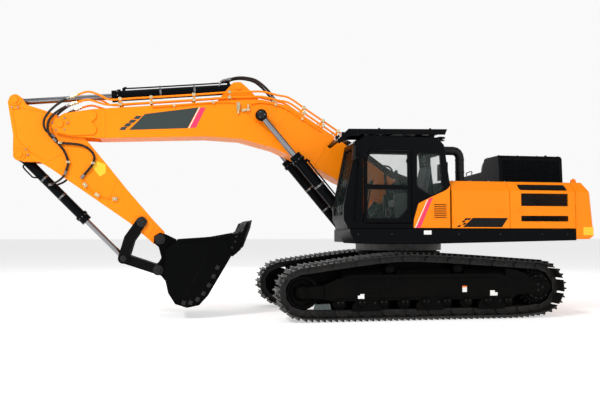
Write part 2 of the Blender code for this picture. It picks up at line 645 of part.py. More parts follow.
def build_bucket(body):
    outer = [(-4.20, 1.38), (-4.42, 1.20), (-4.44, 0.74), (-4.378, 0.46), (-4.258, 0.27), (-4.053, 0.20),
             (-3.85, 0.24), (-3.70, 0.40), (-3.386, 0.933), (-3.195, 1.264), (-3.09, 1.50)]
    mouth = [(-3.16, 1.50), (-3.60, 1.42)]
    inner = [(-4.16, 1.50), (-4.36, 1.17), (-4.385, 0.75), (-4.325, 0.49), (-4.22, 0.33), (-4.05, 0.26),
             (-3.90, 0.29), (-3.76, 0.43), (-3.445, 0.955), (-3.26, 1.285), (-3.12, 1.60)]
    ear = [(-4.64, 1.32), (-4.63, 1.44), (-4.53, 1.50), (-4.43, 1.47), (-4.20, 1.36), (-4.25, 0.55),
           (-4.40, 0.60), (-4.50, 0.73), (-4.65, 0.79), (-4.66, 0.89), (-4.56, 0.95), (-4.50, 1.05),
           (-4.55, 1.24)]
    shapes = [prism(outer + mouth, "X", -BUCKET_HALF, BUCKET_HALF)]
    shapes += mirrored(lambda side: side_prism(ear, side, *BUCKET_EAR))
    for number in range(5):
        x = (number - 2) * (BUCKET_HALF - 0.07) / 2
        tooth = [(-3.27, 1.24), (-3.16, 1.20), (-2.96, 1.60), (-2.93, 1.72), (-2.98, 1.70), (-3.18, 1.42)]
        shapes.append(prism(tooth, "X", x - 0.055, x + 0.055))
    cuts = [prism(inner, "X", -BUCKET_HALF + 0.035, BUCKET_HALF - 0.035)]
    add_part("bucket", body, "black_paint", shapes, cuts)


def build_equipment(bodies):
    build_boom(bodies["boom"])
    for side, word in ((1, "left"), (-1, "right")):
        names = (f"boom_cylinder_{word}", f"boom_cylinder_rod_{word}")
        build_cylinder(names, bodies["boom_cylinders"], bodies["boom_rods"], BOOM_CYLINDER_FOOT,
                       BOOM_CYLINDER_EYE, 1.90, (0.0975, 0.055), side * BOOM_CYLINDER_X, 0.05, 0.80)
    build_arm(bodies["arm"])
    build_cylinder(("arm_cylinder", "arm_cylinder_rod"), bodies["arm_cylinder"], bodies["arm_rod"],
                   ARM_CYLINDER_FOOT, ARM_CYLINDER_EYE, 2.296, (0.0975, 0.055), tail=0.20)
    build_cylinder(("bucket_cylinder", "bucket_cylinder_rod"), bodies["bucket_cylinder"],
                   bodies["bucket_rod"], BUCKET_CYLINDER_FOOT, LINK_PIN, 1.61, (0.085, 0.05), tail=0.66)
    build_linkage(bodies["rocker"], bodies["bucket_link"])
    build_bucket(bodies["bucket"])


def build_doors(bodies):
    top = [(DOOR_Y[0] + 0.008, DOOR_Z[0] + 0.008), (DOOR_Y[0] + 0.008, 2.795),
           (DOOR_Y[0] + 0.123, DOOR_Z[1] - 0.008), (DOOR_Y[1] - 0.008, DOOR_Z[1] - 0.008),
           (DOOR_Y[1] - 0.008, DOOR_Z[0] + 0.008)]
    upper = [(-1.03, 2.32), (-1.03, 2.80), (-0.95, 2.88), (-0.30, 2.88), (-0.30, 2.32)]
    lower = [(-1.03, 1.74), (-1.03, 2.25), (-0.30, 2.25), (-0.30, 1.92), (-0.46, 1.74)]
    slab = [prism(top, "X", DOOR_OUTER - 0.05, DOOR_OUTER)]
    cuts = [prism(upper, "X", 1.2, 1.7), prism(lower, "X", 1.2, 1.7)]
    add_part("cab_door", bodies["cab_door"], "black_paint", slab, cuts)
    for name, outline in (("cab_door_window_upper", upper), ("cab_door_window_lower", lower)):
        pane = [prism(shrunk(outline), "X", DOOR_OUTER - 0.03, DOOR_OUTER - 0.022)]
        add_part(name, bodies["cab_door"], "cab_glass", pane)
    front = [side_door_shape(1, BODY_FRONT_Y + 0.005, SEAM_Y - 0.004)]
    add_part("side_door_left_front", bodies["side_door_left_front"], "orange_paint", front)
    rear = [side_door_shape(1, SEAM_Y + 0.004, REAR_Y - 0.008)]
    vents = [box((1.3, VENT_Y[0], low), (1.6, VENT_Y[1], high)) for low, high in VENT_HEIGHTS]
    vents.append(prism([(1.50, 2.29), (1.42, 2.37), (1.30, 2.26), (1.38, 2.18)], "Y", *VENT_Y))
    add_part("side_door_left_rear", bodies["side_door_left_rear"], "orange_paint", rear, vents)
    right = [side_door_shape(-1, 1.70, REAR_Y - 0.008)]
    add_part("side_door_right", bodies["side_door_right"], "orange_paint", right)
    shapes, cuts = hood_shapes()
    add_part("engine_hood", bodies["engine_hood"], "black_paint", shapes, cuts)


def pivot(point, x=0.0):
    return (x, point[0], point[1])


def main():
    clear_scene()
    for name in PAINTS:
        make_material(name)
    machine = Body("undercarriage")
    house = Body("house", machine)
    build_undercarriage(machine)
    build_swing_frame(house)
    build_counterweight(house)
    build_panels(house)
    build_cab(house)
    build_rails(house)
    build_mirrors(house)
    bodies = {}
    hung_on = (
        ("boom", "house", pivot(BOOM_FOOT)),
        ("boom_cylinders", "house", pivot(BOOM_CYLINDER_FOOT)),
        ("boom_rods", "boom_cylinders", pivot(BOOM_CYLINDER_EYE)),
        ("arm_cylinder", "boom", pivot(ARM_CYLINDER_FOOT)),
        ("arm_rod", "arm_cylinder", pivot(ARM_CYLINDER_EYE)),
        ("arm", "boom", pivot(ARM_PIN)),
        ("bucket_cylinder", "arm", pivot(BUCKET_CYLINDER_FOOT)),
        ("bucket_rod", "bucket_cylinder", pivot(LINK_PIN)),
        ("rocker", "arm", pivot(ROCKER_PIN)),
        ("bucket", "arm", pivot(BUCKET_PIN)),
        ("bucket_link", "bucket", pivot(BUCKET_LINK_PIN)),
        ("cab_door", "house", (DOOR_OUTER + 0.02, DOOR_Y[1], 2.3)),
        ("side_door_left_front", "house", (HOUSE_HALF, BODY_FRONT_Y, 2.0)),
        ("side_door_left_rear", "house", (HOUSE_HALF, REAR_Y - 0.004, 2.0)),
        ("side_door_right", "house", (-HOUSE_HALF, REAR_Y - 0.004, 2.0)),
        ("engine_hood", "house", (0, HOOD_REAR, BODY_TOP + 0.025)),
    )
    for name, parent, place in hung_on:
        bodies[name] = Body(name, bodies.get(parent, house), place)
    build_equipment(bodies)
    build_doors(bodies)


main()
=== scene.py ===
"""The looks of a crawler excavator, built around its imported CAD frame.

Metres, +Z up. The machine faces -Y and its left side is +X. As in the CAD, shapes are drawn around
the slew axis, which stands SLEW_Y behind the frame's origin. A (Y, Z) pair is a place on a side view.
"""

import json
import math

import bmesh
import bpy
from mathutils import Matrix, Vector


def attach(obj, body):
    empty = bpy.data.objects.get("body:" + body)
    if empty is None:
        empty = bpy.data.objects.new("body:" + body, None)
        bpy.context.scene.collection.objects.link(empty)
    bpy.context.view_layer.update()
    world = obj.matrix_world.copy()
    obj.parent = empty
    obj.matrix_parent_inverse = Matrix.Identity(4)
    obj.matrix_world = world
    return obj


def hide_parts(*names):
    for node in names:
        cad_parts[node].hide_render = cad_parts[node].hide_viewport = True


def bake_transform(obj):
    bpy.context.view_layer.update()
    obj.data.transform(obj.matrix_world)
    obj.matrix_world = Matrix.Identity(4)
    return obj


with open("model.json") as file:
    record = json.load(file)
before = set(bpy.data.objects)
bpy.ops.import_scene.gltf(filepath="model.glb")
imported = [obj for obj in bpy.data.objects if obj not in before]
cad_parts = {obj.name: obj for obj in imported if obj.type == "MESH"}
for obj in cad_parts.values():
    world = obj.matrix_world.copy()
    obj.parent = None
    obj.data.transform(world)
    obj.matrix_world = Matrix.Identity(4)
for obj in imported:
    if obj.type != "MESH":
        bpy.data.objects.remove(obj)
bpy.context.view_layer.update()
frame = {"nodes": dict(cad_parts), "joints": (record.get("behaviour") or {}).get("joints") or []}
NODES = frame["nodes"]
PLACES = {joint["name"]: joint.get("pos_m") for joint in frame["joints"]}
SLEW_Y = PLACES["slew"][1]


def pivot(name):
    """The (Y, Z) place of a joint, from the slew axis."""
    place = PLACES[name]
    return Vector((place[1] - SLEW_Y, place[2]))


# Pins of the working equipment
BOOM_FOOT = pivot("boom_lift")
BOOM_CYLINDER_FOOT = pivot("boom_cylinder_swing")
ARM_PIN = pivot("arm_swing")
ARM_CYLINDER_FOOT = pivot("arm_cylinder_swing")
BUCKET_PIN = pivot("bucket_curl")
ROCKER_PIN = pivot("rocker_swing")
BUCKET_LINK_PIN = pivot("bucket_link_swing")
BUCKET_CYLINDER_FOOT = pivot("bucket_cylinder_swing")
BOOM_CYLINDER_EYE = Vector((-2.74, 3.64))
ARM_CYLINDER_EYE = Vector((-7.035, 3.815))
LINK_PIN = Vector((-5.165, 1.04))

# Widths, from the middle plane
BOOM_HALF = 0.29
ARM_HALF = 0.225
HOUSE_HALF = 1.49
CAB_LEFT = 1.46
CAB_RIGHT = 0.59
BUCKET_HALF = 0.75
BOOM_CYLINDER_X = 0.465
DECK_Z = 1.56
BODY_TOP = 2.42
REAR_Y = 2.88            # where the counterweight starts
TAIL_RADIUS = 3.73       # slew axis to the back of the counterweight
WEIGHT_CORNER = 3.21     # where the counterweight's side turns into its curved back

# Tracks
GAUGE_HALF = 1.295
SHOE_COUNT = 52
SHOE_HALF = 0.30
IDLER = (-2.15, 0.485)
IDLER_RADIUS = 0.47
SPROCKET = (2.13, 0.53)
SPROCKET_RADIUS = 0.49
TOP_RUN = ((-0.67, 1.15), (0.23, 1.15))
BOTTOM_RUN = (-1.80, 1.70)
PIN_DEPTH = 0.12         # shoe tips to the chain's pins

HORIZON = (22, 40)       # degrees over which the white horizon falls off to the sky
HORIZON_STRENGTH = 0.95
SKY_STRENGTH = 0.22
CAMERA_PLACE = (13.06, -2.61, 1.47)
CAMERA_YAW = 10.4        # degrees from square on to the left side
CAMERA_PITCH = 2.8
CAMERA_LENS = 42
SENSOR = 36


# Materials

class Tree:
    """The node tree of a new material, with short ways to add and join nodes."""

    def __init__(self, name):
        self.material = bpy.data.materials.new(name)
        self.material.use_nodes = True
        self.nodes = self.material.node_tree.nodes
        self.links = self.material.node_tree.links
        self.shader = self.nodes["Principled BSDF"]
        place = self.nodes.new("ShaderNodeTexCoord")
        self.place = place.outputs["Object"]

    def add(self, kind, inputs=(), **settings):
        node = self.nodes.new("ShaderNode" + kind)
        for key, value in settings.items():
            setattr(node, key, value)
        for key, value in dict(inputs).items():
            if isinstance(value, bpy.types.NodeSocket):
                self.links.new(value, node.inputs[key])
            else:
                node.inputs[key].default_value = value
        return node

    def noise(self, scale, detail=4.0, roughness=0.6, place=None):
        inputs = {"Vector": place or self.place, "Scale": scale, "Detail": detail, "Roughness": roughness}
        return self.add("TexNoise", inputs).outputs["Fac"]

    def stretch(self, scale):
        """The object's coordinates, scaled apart for streaks."""
        return self.add("Mapping", {"Vector": self.place, "Scale": scale}).outputs["Vector"]

    def ramp(self, value, low, high, start=0.0, end=1.0):
        """A value mapped from low..high to start..end."""
        inputs = {"Value": value, "From Min": low, "From Max": high, "To Min": start, "To Max": end}
        return self.add("MapRange", inputs).outputs["Result"]

    def times(self, a, b):
        return self.add("Math", {0: a, 1: b}, operation="MULTIPLY").outputs[0]

    def mix(self, share, a, b):
        node = self.add("Mix", {"Factor": share}, data_type="RGBA")
        for socket, value in (("A", a), ("B", b)):
            target = [i for i in node.inputs if i.name == socket and i.type == "RGBA"][0]
            if isinstance(value, bpy.types.NodeSocket):
                self.links.new(value, target)
            else:
                target.default_value = (*value, 1)
        return [o for o in node.outputs if o.type == "RGBA"][0]

    def set(self, **values):
        for key, value in values.items():
            socket = self.shader.inputs[key.replace("_", " ")]
            if isinstance(value, bpy.types.NodeSocket):
                self.links.new(value, socket)
            elif isinstance(value, tuple) and len(value) == 3:
                socket.default_value = (*value, 1)
            else:
                socket.default_value = value

    def bump(self, height, strength, distance=0.002):
        node = self.add("Bump", {"Height": height, "Strength": strength, "Distance": distance})
        self.links.new(node.outputs["Normal"], self.shader.inputs["Normal"])


DUST = (0.20, 0.135, 0.065)
RUST = (0.16, 0.055, 0.018)


def dusty_share(tree, top, amount):
    """More dust low down and in blotches, from 0 to amount."""
    height = tree.add("SeparateXYZ", {"Vector": tree.place}).outputs["Z"]
    low = tree.ramp(height, 0.0, top, 1.0, 0.12)
    blotch = tree.ramp(tree.noise(3.1, 8, 0.7), 0.42, 0.72)
    fine = tree.ramp(tree.noise(38.0, 5, 0.7), 0.35, 0.75, 0.35, 1.0)
    return tree.times(tree.times(low, blotch), tree.times(fine, amount))


def paint(name, colour, roughness, vary=0.06, dust=0.0, dust_top=2.0, coat=0.0, grain=0.0008, gloss=0.5):
    """Sprayed paint on plate: slow changes of tone, orange peel, and dust towards the ground."""
    tree = Tree(name)
    pale = tuple(min(1.0, c * (1 + 1.5 * vary)) for c in colour)
    deep = tuple(c * (1 - 1.5 * vary) for c in colour)
    body = tree.mix(tree.ramp(tree.noise(0.9, 5), 0.35, 0.68), deep, pale)
    streaks = tree.ramp(tree.noise(5.0, 6, 0.65, tree.stretch((1, 1, 0.16))), 0.45, 0.75, 0, 0.5)
    body = tree.mix(streaks, body, deep)
    rough = tree.ramp(tree.noise(14.0, 6, 0.7), 0.3, 0.7, roughness - 0.05, roughness + 0.10)
    if dust:
        body = tree.mix(dusty_share(tree, dust_top, dust), body, DUST)
    tree.set(Base_Color=body, Roughness=rough, Coat_Weight=coat, Coat_Roughness=0.12,
             Specular_IOR_Level=gloss)
    tree.bump(tree.noise(160.0, 3, 0.5), 0.25, grain)
    return tree.material


def steel(name, colour, roughness, worn=0.0, rust=0.0, dust=0.0, dust_top=1.2, grain=0.001, metallic=0.9):
    """Bare or worn steel with rust in blotches and dust low down."""
    tree = Tree(name)
    pale = tuple(min(1.0, c * 1.8 + 0.002) for c in colour)
    body = tree.mix(tree.ramp(tree.noise(7.0, 8, 0.7), 0.35, 0.7), colour, pale)
    if worn:
        edge = tree.add("Bevel", {"Radius": 0.012}, samples=4).outputs["Normal"]
        flat = tree.add("NewGeometry").outputs["Normal"]
        same = tree.add("VectorMath", {0: edge, 1: flat}, operation="DOT_PRODUCT").outputs["Value"]
        share = tree.ramp(same, 0.97, 0.80, 0.0, worn)
        body = tree.mix(tree.times(share, tree.ramp(tree.noise(22.0, 5, 0.7), 0.35, 0.6)), body,
                        (0.30, 0.29, 0.28))
    if rust:
        body = tree.mix(tree.times(tree.ramp(tree.noise(4.0, 9, 0.75), 0.5, 0.68), rust), body, RUST)
    if dust:
        body = tree.mix(dusty_share(tree, dust_top, dust), body, DUST)
    rough = tree.ramp(tree.noise(17.0, 7, 0.7), 0.3, 0.7, roughness - 0.08, roughness + 0.14)
    tree.set(Base_Color=body, Roughness=rough, Metallic=metallic, Specular_IOR_Level=0.3)
    tree.bump(tree.noise(60.0, 8, 0.7), 0.5, grain)
    return tree.material


def chrome(name):
    """A ground and plated rod with fine lines round it."""
    tree = Tree(name)
    body = tree.mix(tree.noise(2.0, 3), (0.22, 0.225, 0.24), (0.30, 0.305, 0.32))
    rough = tree.ramp(tree.noise(90.0, 3, 0.6), 0.3, 0.7, 0.10, 0.17)
    tree.set(Base_Color=body, Roughness=rough, Metallic=1.0)
    tree.bump(tree.noise(300.0, 2), 0.04, 0.0003)
    return tree.material


def glass(name, tint):
    """Thin tinted safety glass with a little dust, which lets light through to the seat."""
    tree = Tree(name)
    film = tree.ramp(tree.noise(1.6, 6, 0.65), 0.35, 0.75)
    body = tree.mix(film, tint, tuple(c * 1.6 + 0.01 for c in tint))
    tree.set(Base_Color=body, Roughness=tree.ramp(film, 0.0, 1.0, 0.03, 0.10),
             Alpha=tree.ramp(film, 0.0, 1.0, 0.09, 0.14))
    return tree.material


def rubber(name, colour, roughness=0.65, ribs=0.0):
    """Hose cover or gasket: dull, faintly mottled, and wrapped with fine ribs where asked."""
    tree = Tree(name)
    pale = tuple(c * 1.8 + 0.002 for c in colour)
    body = tree.mix(tree.ramp(tree.noise(25.0, 6, 0.7), 0.35, 0.7), colour, pale)
    rough = tree.ramp(tree.noise(40.0, 4), 0.3, 0.7, roughness - 0.06, roughness + 0.08)
    tree.set(Base_Color=body, Roughness=rough, Specular_IOR_Level=0.2)
    tree.bump(tree.noise(220.0, 4), 0.3 + ribs, 0.001)
    return tree.material


def cloth(name, colour):
    """Woven seat cover: a fine cross weave over a soft sheen."""
    tree = Tree(name)
    place = tree.stretch((1, 1, 1))
    warp = tree.add("TexWave", {"Vector": place, "Scale": 95.0, "Distortion": 0.6}, bands_direction="X")
    weft = tree.add("TexWave", {"Vector": place, "Scale": 95.0, "Distortion": 0.6}, bands_direction="Z")
    weave = tree.times(warp.outputs["Fac"], weft.outputs["Fac"])
    body = tree.mix(weave, colour, tuple(c * 2.2 + 0.01 for c in colour))
    body = tree.mix(tree.ramp(tree.noise(6.0, 5), 0.4, 0.7, 0, 0.3), body, tuple(c * 0.6 for c in colour))
    tree.set(Base_Color=body, Roughness=0.92, Sheen_Weight=0.3)
    tree.bump(weave, 0.5, 0.0008)
    return tree.material


def lamp_lens(name, colour):
    """A moulded lens with fine flutes."""
    tree = Tree(name)
    flutes = tree.add("TexWave", {"Vector": tree.place, "Scale": 60.0}, bands_direction="X").outputs["Fac"]
    body = tree.mix(flutes, colour, tuple(min(1.0, c * 1.3) for c in colour))
    tree.set(Base_Color=body, Roughness=0.12, Coat_Weight=0.6)
    tree.bump(flutes, 0.4, 0.001)
    return tree.material


def make_paints():
    """Every material of the machine, by the name that the pieces use."""
    return {
        "orange": paint("orange_paint", (0.95, 0.238, 0.002), 0.34, 0.02, 0.04, 2.6, 0.0, 0.0008, 0.15),
        "orange_arm": paint("orange_arm_paint", (0.97, 0.246, 0.002), 0.36, 0.02, 0.02, 3.0, 0.0, 0.0008,
                            0.15),
        "black": paint("black_paint", (0.0020, 0.0024, 0.0032), 0.30, 0.05, 0.012, 2.2, 0.0, 0.0008, 0.045),
        "frame": paint("frame_paint", (0.0020, 0.0022, 0.0022), 0.42, 0.05, 0.025, 1.3, 0.0, 0.0008, 0.03),
        "bucket": paint("bucket_paint", (0.0015, 0.0017, 0.0018), 0.38, 0.05, 0.008, 1.6, 0.0, 0.002, 0.03),
        "link": paint("link_paint", (0.0025, 0.0027, 0.003), 0.36, 0.05, 0.012, 1.6, 0.0, 0.0012, 0.06),
        "tooth": steel("tooth_steel", (0.006, 0.006, 0.0065), 0.40, 0.22, 0.03, 0.04, 2.0, 0.002, 0.2),
        "track": steel("track_steel", (0.0035, 0.0035, 0.0035), 0.42, 0.16, 0.02, 0.09, 1.3, 0.002, 0.12),
        "chain": steel("chain_steel", (0.004, 0.004, 0.004), 0.45, 0.12, 0.03, 0.08, 1.2, 0.002, 0.15),
        "pin": steel("pin_steel", (0.006, 0.006, 0.007), 0.36, 0.12, 0.0, 0.0, 2.0, 0.0006, 0.2),
        "engine": steel("engine_steel", (0.10, 0.10, 0.10), 0.55, 0.0, 0.15, 0.2, 3.0, 0.002, 0.6),
        "chrome": chrome("chrome_rod"),
        "zinc": steel("zinc_fitting", (0.46, 0.38, 0.22), 0.32, 0.0, 0.0, 0.1, 4.0, 0.0004),
        "bolt": steel("bolt_steel", (0.16, 0.16, 0.16), 0.36, 0.0, 0.05, 0.1, 2.0, 0.0004),
        "dark_bolt": steel("dark_bolt_steel", (0.012, 0.012, 0.013), 0.36, 0.0, 0.0, 0.05, 2.0, 0.0004, 0.5),
        "glass": glass("cab_glass", (0.035, 0.060, 0.052)),
        "mirror": chrome("mirror_glass"),
        "hose": rubber("hose_rubber", (0.012, 0.008, 0.006), 0.45, 0.3),
        "gasket": rubber("gasket_rubber", (0.003, 0.003, 0.003), 0.6),
        "plastic": rubber("black_plastic", (0.004, 0.004, 0.0045), 0.42),
        "trim": rubber("grey_plastic", (0.045, 0.055, 0.055), 0.5),
        "seat": cloth("seat_fabric", (0.022, 0.022, 0.026)),
        "mesh": paint("grille_mesh", (0.004, 0.0045, 0.005), 0.5, 0.003, gloss=0.15),
        "decal_grey": paint("decal_grey", (0.038, 0.051, 0.048), 0.45, 0.02, gloss=0.12),
        "decal_black": paint("decal_black", (0.003, 0.003, 0.003), 0.40, 0.003, gloss=0.15),
        "decal_red": paint("decal_red", (0.94, 0.022, 0.105), 0.42, 0.02),
        "decal_white": paint("decal_white", (0.80, 0.79, 0.77), 0.45, 0.02),
        "label_yellow": paint("label_yellow", (0.95, 0.52, 0.01), 0.42, 0.02),
        "label_orange": paint("label_orange", (0.90, 0.20, 0.02), 0.42, 0.02),
        "lamp": lamp_lens("lamp_lens", (0.55, 0.56, 0.56)),
        "screen": paint("screen_glass", (0.02, 0.03, 0.04), 0.15, 0.02, 0.0, 2.0, 0.8),
    }


PAINTS = make_paints()


# Shapes, each a closed mesh around the slew axis

def prism(outline, axis, low, high):
    """A closed outline extruded along X, Y or Z. It is drawn in the other two axes, in X, Y, Z order."""
    across = [i for i in range(3) if i != "XYZ".index(axis)]
    mesh = bmesh.new()
    rings = []
    for level in (low, high):
        ring = []
        for point in outline:
            place = [level] * 3
            place[across[0]] = point[0]
            place[across[1]] = point[1]
            ring.append(mesh.verts.new(place))
        rings.append(ring)
    mesh.faces.new(rings[0])
    mesh.faces.new(rings[1])
    for i in range(len(outline)):
        j = (i + 1) % len(outline)
        mesh.faces.new((rings[0][i], rings[0][j], rings[1][j], rings[1][i]))
    bmesh.ops.recalc_face_normals(mesh, faces=mesh.faces)
    return mesh


def box(low, high):
    """A block between two corners."""
    corners = [(low[0], low[1]), (high[0], low[1]), (high[0], high[1]), (low[0], high[1])]
    return prism(corners, "Z", low[2], high[2])


def arc(centre, radius, first, last, steps):
    """Points on a circle, from one angle to another in degrees."""
    turns = [math.radians(first + (last - first) * i / steps) for i in range(steps + 1)]
    return [(centre[0] + radius * math.cos(t), centre[1] + radius * math.sin(t)) for t in turns]


def ring_of(centre, radius, sides):
    """Points round a circle, as many as its sides."""
    return arc(centre, radius, 0, 360 * (sides - 1) / sides, sides - 1)


def disc(axis, centre, radius, low, high, sides=24):
    """A short cylinder along an axis, between two heights."""
    return prism(ring_of(centre, radius, sides), axis, low, high)


def side_prism(outline, side, near, far):
    """A (Y, Z) outline extruded between two distances from the middle plane, on one side of it."""
    low, high = sorted((side * near, side * far))
    return prism(outline, "X", low, high)


def at_x(x, point):
    """A point of the side view, placed at this x."""
    return Vector((x, point[0], point[1]))


def toward(start, end, length):
    """The point this far from start on the way to end, on a side view."""
    return Vector(start) + (Vector(end) - Vector(start)).normalized() * length


def turned(profile, start, direction, sides=32):
    """A shape turned about a line: pairs of distance along it and radius, from start."""
    start = Vector(start)
    direction = Vector(direction).normalized()
    across = direction.orthogonal().normalized()
    other = direction.cross(across)
    mesh = bmesh.new()
    rings = []
    for along, radius in profile:
        centre = start + direction * along
        ring = []
        for i in range(sides):
            turn = 2 * math.pi * i / sides
            ring.append(mesh.verts.new(centre + radius * (math.cos(turn) * across + math.sin(turn) * other)))
        rings.append(ring)
    join_rings(mesh, rings)
    return mesh


def join_rings(mesh, rings, closed=False):
    """Faces between rings of as many points, with both ends capped unless the rings close a loop."""
    pairs = list(zip(rings, rings[1:]))
    if closed:
        pairs.append((rings[-1], rings[0]))
    for ring, following in pairs:
        for i in range(len(ring)):
            j = (i + 1) % len(ring)
            mesh.faces.new((ring[i], ring[j], following[j], following[i]))
    if not closed:
        mesh.faces.new(rings[0])
        mesh.faces.new(rings[-1])
    bmesh.ops.recalc_face_normals(mesh, faces=mesh.faces)


def rod(start, end, radius, sides=20):
    """A straight bar between two points."""
    start = Vector(start)
    end = Vector(end)
    return turned([(0, radius), ((end - start).length, radius)], start, end - start, sides)


def curve(points, steps=6):
    """A smooth line through given points, with this many pieces between each two."""
    points = [Vector(point) for point in points]
    line = []
    count = len(points)
    for i in range(count - 1):
        b, c = points[i], points[i + 1]
        a = points[i - 1] if i else b * 2 - c
        d = points[i + 2] if i + 2 < count else c * 2 - b
        for k in range(steps):
            t = k / steps
            line.append(0.5 * (2 * b + (c - a) * t + (2 * a - 5 * b + 4 * c - d) * t * t
                               + (3 * b - 3 * c + d - a) * t ** 3))
    line.append(points[-1])
    return line


def tube(points, radius, sides=12, closed=False, swell=None):
    """A round bar, pipe or hose along a line of points. Swell gives each ring's radius by its number."""
    points = [Vector(point) for point in points]
    count = len(points)
    mesh = bmesh.new()
    rings = []
    across = None
    for number, point in enumerate(points):
        before = points[(number - 1) % count] if closed else points[max(number - 1, 0)]
        after = points[(number + 1) % count] if closed else points[min(number + 1, count - 1)]
        heading = (after - before).normalized()
        if across is None:
            across = heading.orthogonal().normalized()
        across = (across - heading * across.dot(heading)).normalized()
        other = heading.cross(across)
        size = swell(number) if swell else radius
        ring = []
        for i in range(sides):
            turn = 2 * math.pi * i / sides
            ring.append(mesh.verts.new(point + size * (math.cos(turn) * across + math.sin(turn) * other)))
        rings.append(ring)
    join_rings(mesh, rings, closed)
    return mesh


def bolt(place, direction, size=0.016, height=0.011):
    """A hexagon head on a washer, pointing along direction."""
    place = Vector(place)
    direction = Vector(direction).normalized()
    washer = turned([(0, size * 1.25), (height * 0.22, size * 1.25)], place, direction, 14)
    head = turned([(0, size), (height * 0.9, size), (height * 1.15, size * 0.86)], place, direction, 6)
    return [washer, head]


def bolt_ring(centre, radius, count, x, side, size=0.016, height=0.011, first=0.0):
    """Bolts on a circle on a face square to X."""
    bolts = []
    for i in range(count):
        turn = math.radians(first + 360 * i / count)
        place = (side * x, centre[0] + radius * math.cos(turn), centre[1] + radius * math.sin(turn))
        bolts += bolt(place, (side, 0, 0), size, height)
    return bolts


def place_shape(shape, matrix):
    """Moves and turns a shape by a matrix."""
    bmesh.ops.transform(shape, matrix=matrix, verts=shape.verts)
    return shape


# Pieces

def soften(made, bevel):
    """Rounds a piece's sharp edges and keeps its flat faces flat in the shading."""
    if bevel:
        edges = made.modifiers.new("round_edges", "BEVEL")
        edges.width = bevel
        edges.segments = 2
        edges.limit_method = "ANGLE"
        edges.angle_limit = math.radians(32)
        edges.use_clamp_overlap = True
        edges.miter_outer = "MITER_ARC"
    flat = made.modifiers.new("flat_faces", "WEIGHTED_NORMAL")
    flat.keep_sharp = True


def piece(name, body, colour, shapes, bevel=0.0, replaces=()):
    """One named piece from shapes drawn around the slew axis, riding on a CAD body."""
    data = bpy.data.meshes.new(name)
    gathered = bmesh.new()
    for shape in shapes:
        shape.to_mesh(data)
        shape.free()
        gathered.from_mesh(data)
    bmesh.ops.translate(gathered, verts=gathered.verts, vec=(0, SLEW_Y, 0))
    gathered.to_mesh(data)
    gathered.free()
    data.materials.append(PAINTS[colour])
    data.shade_smooth()
    data.set_sharp_from_angle(angle=math.radians(38))
    made = bpy.data.objects.new(name, data)
    bpy.context.scene.collection.objects.link(made)
    soften(made, bevel)
    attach(made, body)
    if replaces:
        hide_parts(*replaces)
    return made


def dress(node, colour, bevel):
    """A CAD part with its own material. Modifiers round its edges on top of its mesh. Panes stay flat."""
    made = NODES[node]
    made.data.materials.clear()
    made.data.materials.append(PAINTS[colour])
    normals = made.data.attributes.get("custom_normal")
    if normals:
        made.data.attributes.remove(normals)
    if colour == "glass":
        made.data.shade_flat()
        return
    made.data.shade_smooth()
    weld = made.modifiers.new("weld", "WELD")
    weld.merge_threshold = 0.00005
    soften(made, bevel)


def dress_frame():
    """Gives every CAD node its material."""
    finishes = {
        "orange": ("fuel_tank", "hydraulic_tank", "counterweight",
                   "side_door_left_front", "side_door_left_rear",
                   "side_door_right"),
        "orange_arm": ("boom", "arm"),
        "black": ("swing_frame", "boom_bracket_left", "boom_bracket_right", "engine_deck", "tool_box", "cab",
                  "cab_door", "roof_guard", "handrail_right", "engine_hood", "boom_cylinder_left",
                  "boom_cylinder_right", "arm_cylinder", "bucket_cylinder"),
        "frame": ("carbody", "track_frame_left", "track_frame_right"),
        "link": ("rocker_arms", "bucket_link"),
        "bucket": ("bucket",),
        "engine": ("engine_block", "exhaust_pipe", "slew_ring"),
        "chrome": ("boom_cylinder_rod_left", "boom_cylinder_rod_right", "arm_cylinder_rod",
                   "bucket_cylinder_rod"),
        "glass": ("cab_window_left", "cab_window_right", "cab_window_rear", "windscreen", "roof_window",
                  "cab_door_window_upper", "cab_door_window_lower"),
        "plastic": ("air_intake_duct", "console_left", "console_right", "travel_levers", "mirror_left",
                    "mirror_right"),
    }
    bevels = {"boom": 0.010, "arm": 0.010, "counterweight": 0.030, "fuel_tank": 0.020,
              "hydraulic_tank": 0.020, "cab": 0.012, "swing_frame": 0.020, "bucket": 0.006,
              "engine_hood": 0.014, "engine_block": 0.02, "side_door_left_front": 0.006,
              "side_door_left_rear": 0.006, "side_door_right": 0.006}
    smooth = {"handrail_right", "air_intake_duct"}
    for colour, names in finishes.items():
        for name in names:
            fine = colour in ("glass", "chrome", "plastic") or name in smooth
            dress(name, colour, 0.0 if fine else bevels.get(name, 0.008))


# Undercarriage

def track_route(depth):
    """The loop of a track at some depth under the shoes' tips, as (Y, Z) points."""
    idler = arc(IDLER, IDLER_RADIUS - depth, 268, 100, 48)
    sprocket = arc(SPROCKET, SPROCKET_RADIUS - depth, 86, -88, 48)
    top = curve([idler[-1], (TOP_RUN[0][0], TOP_RUN[0][1] - depth), (TOP_RUN[1][0], TOP_RUN[1][1] - depth),
                 sprocket[0]], 10)[1:-1]
    bottom = [(BOTTOM_RUN[1], depth), (BOTTOM_RUN[0], depth)]
    return [Vector(point) for point in idler + [tuple(p) for p in top] + sprocket + bottom]


def spaced(route, count):
    """Points at equal distances round a closed route."""
    lengths = [(b - a).length for a, b in zip(route, route[1:] + route[:1])]
    whole = sum(lengths)
    spots = []
    number = 0
    passed = 0.0
    for i in range(count):
        target = whole * i / count
        while passed + lengths[number] < target:
            passed += lengths[number]
            number += 1
        share = (target - passed) / lengths[number]
        spots.append(route[number].lerp(route[(number + 1) % len(route)], share))
    return spots


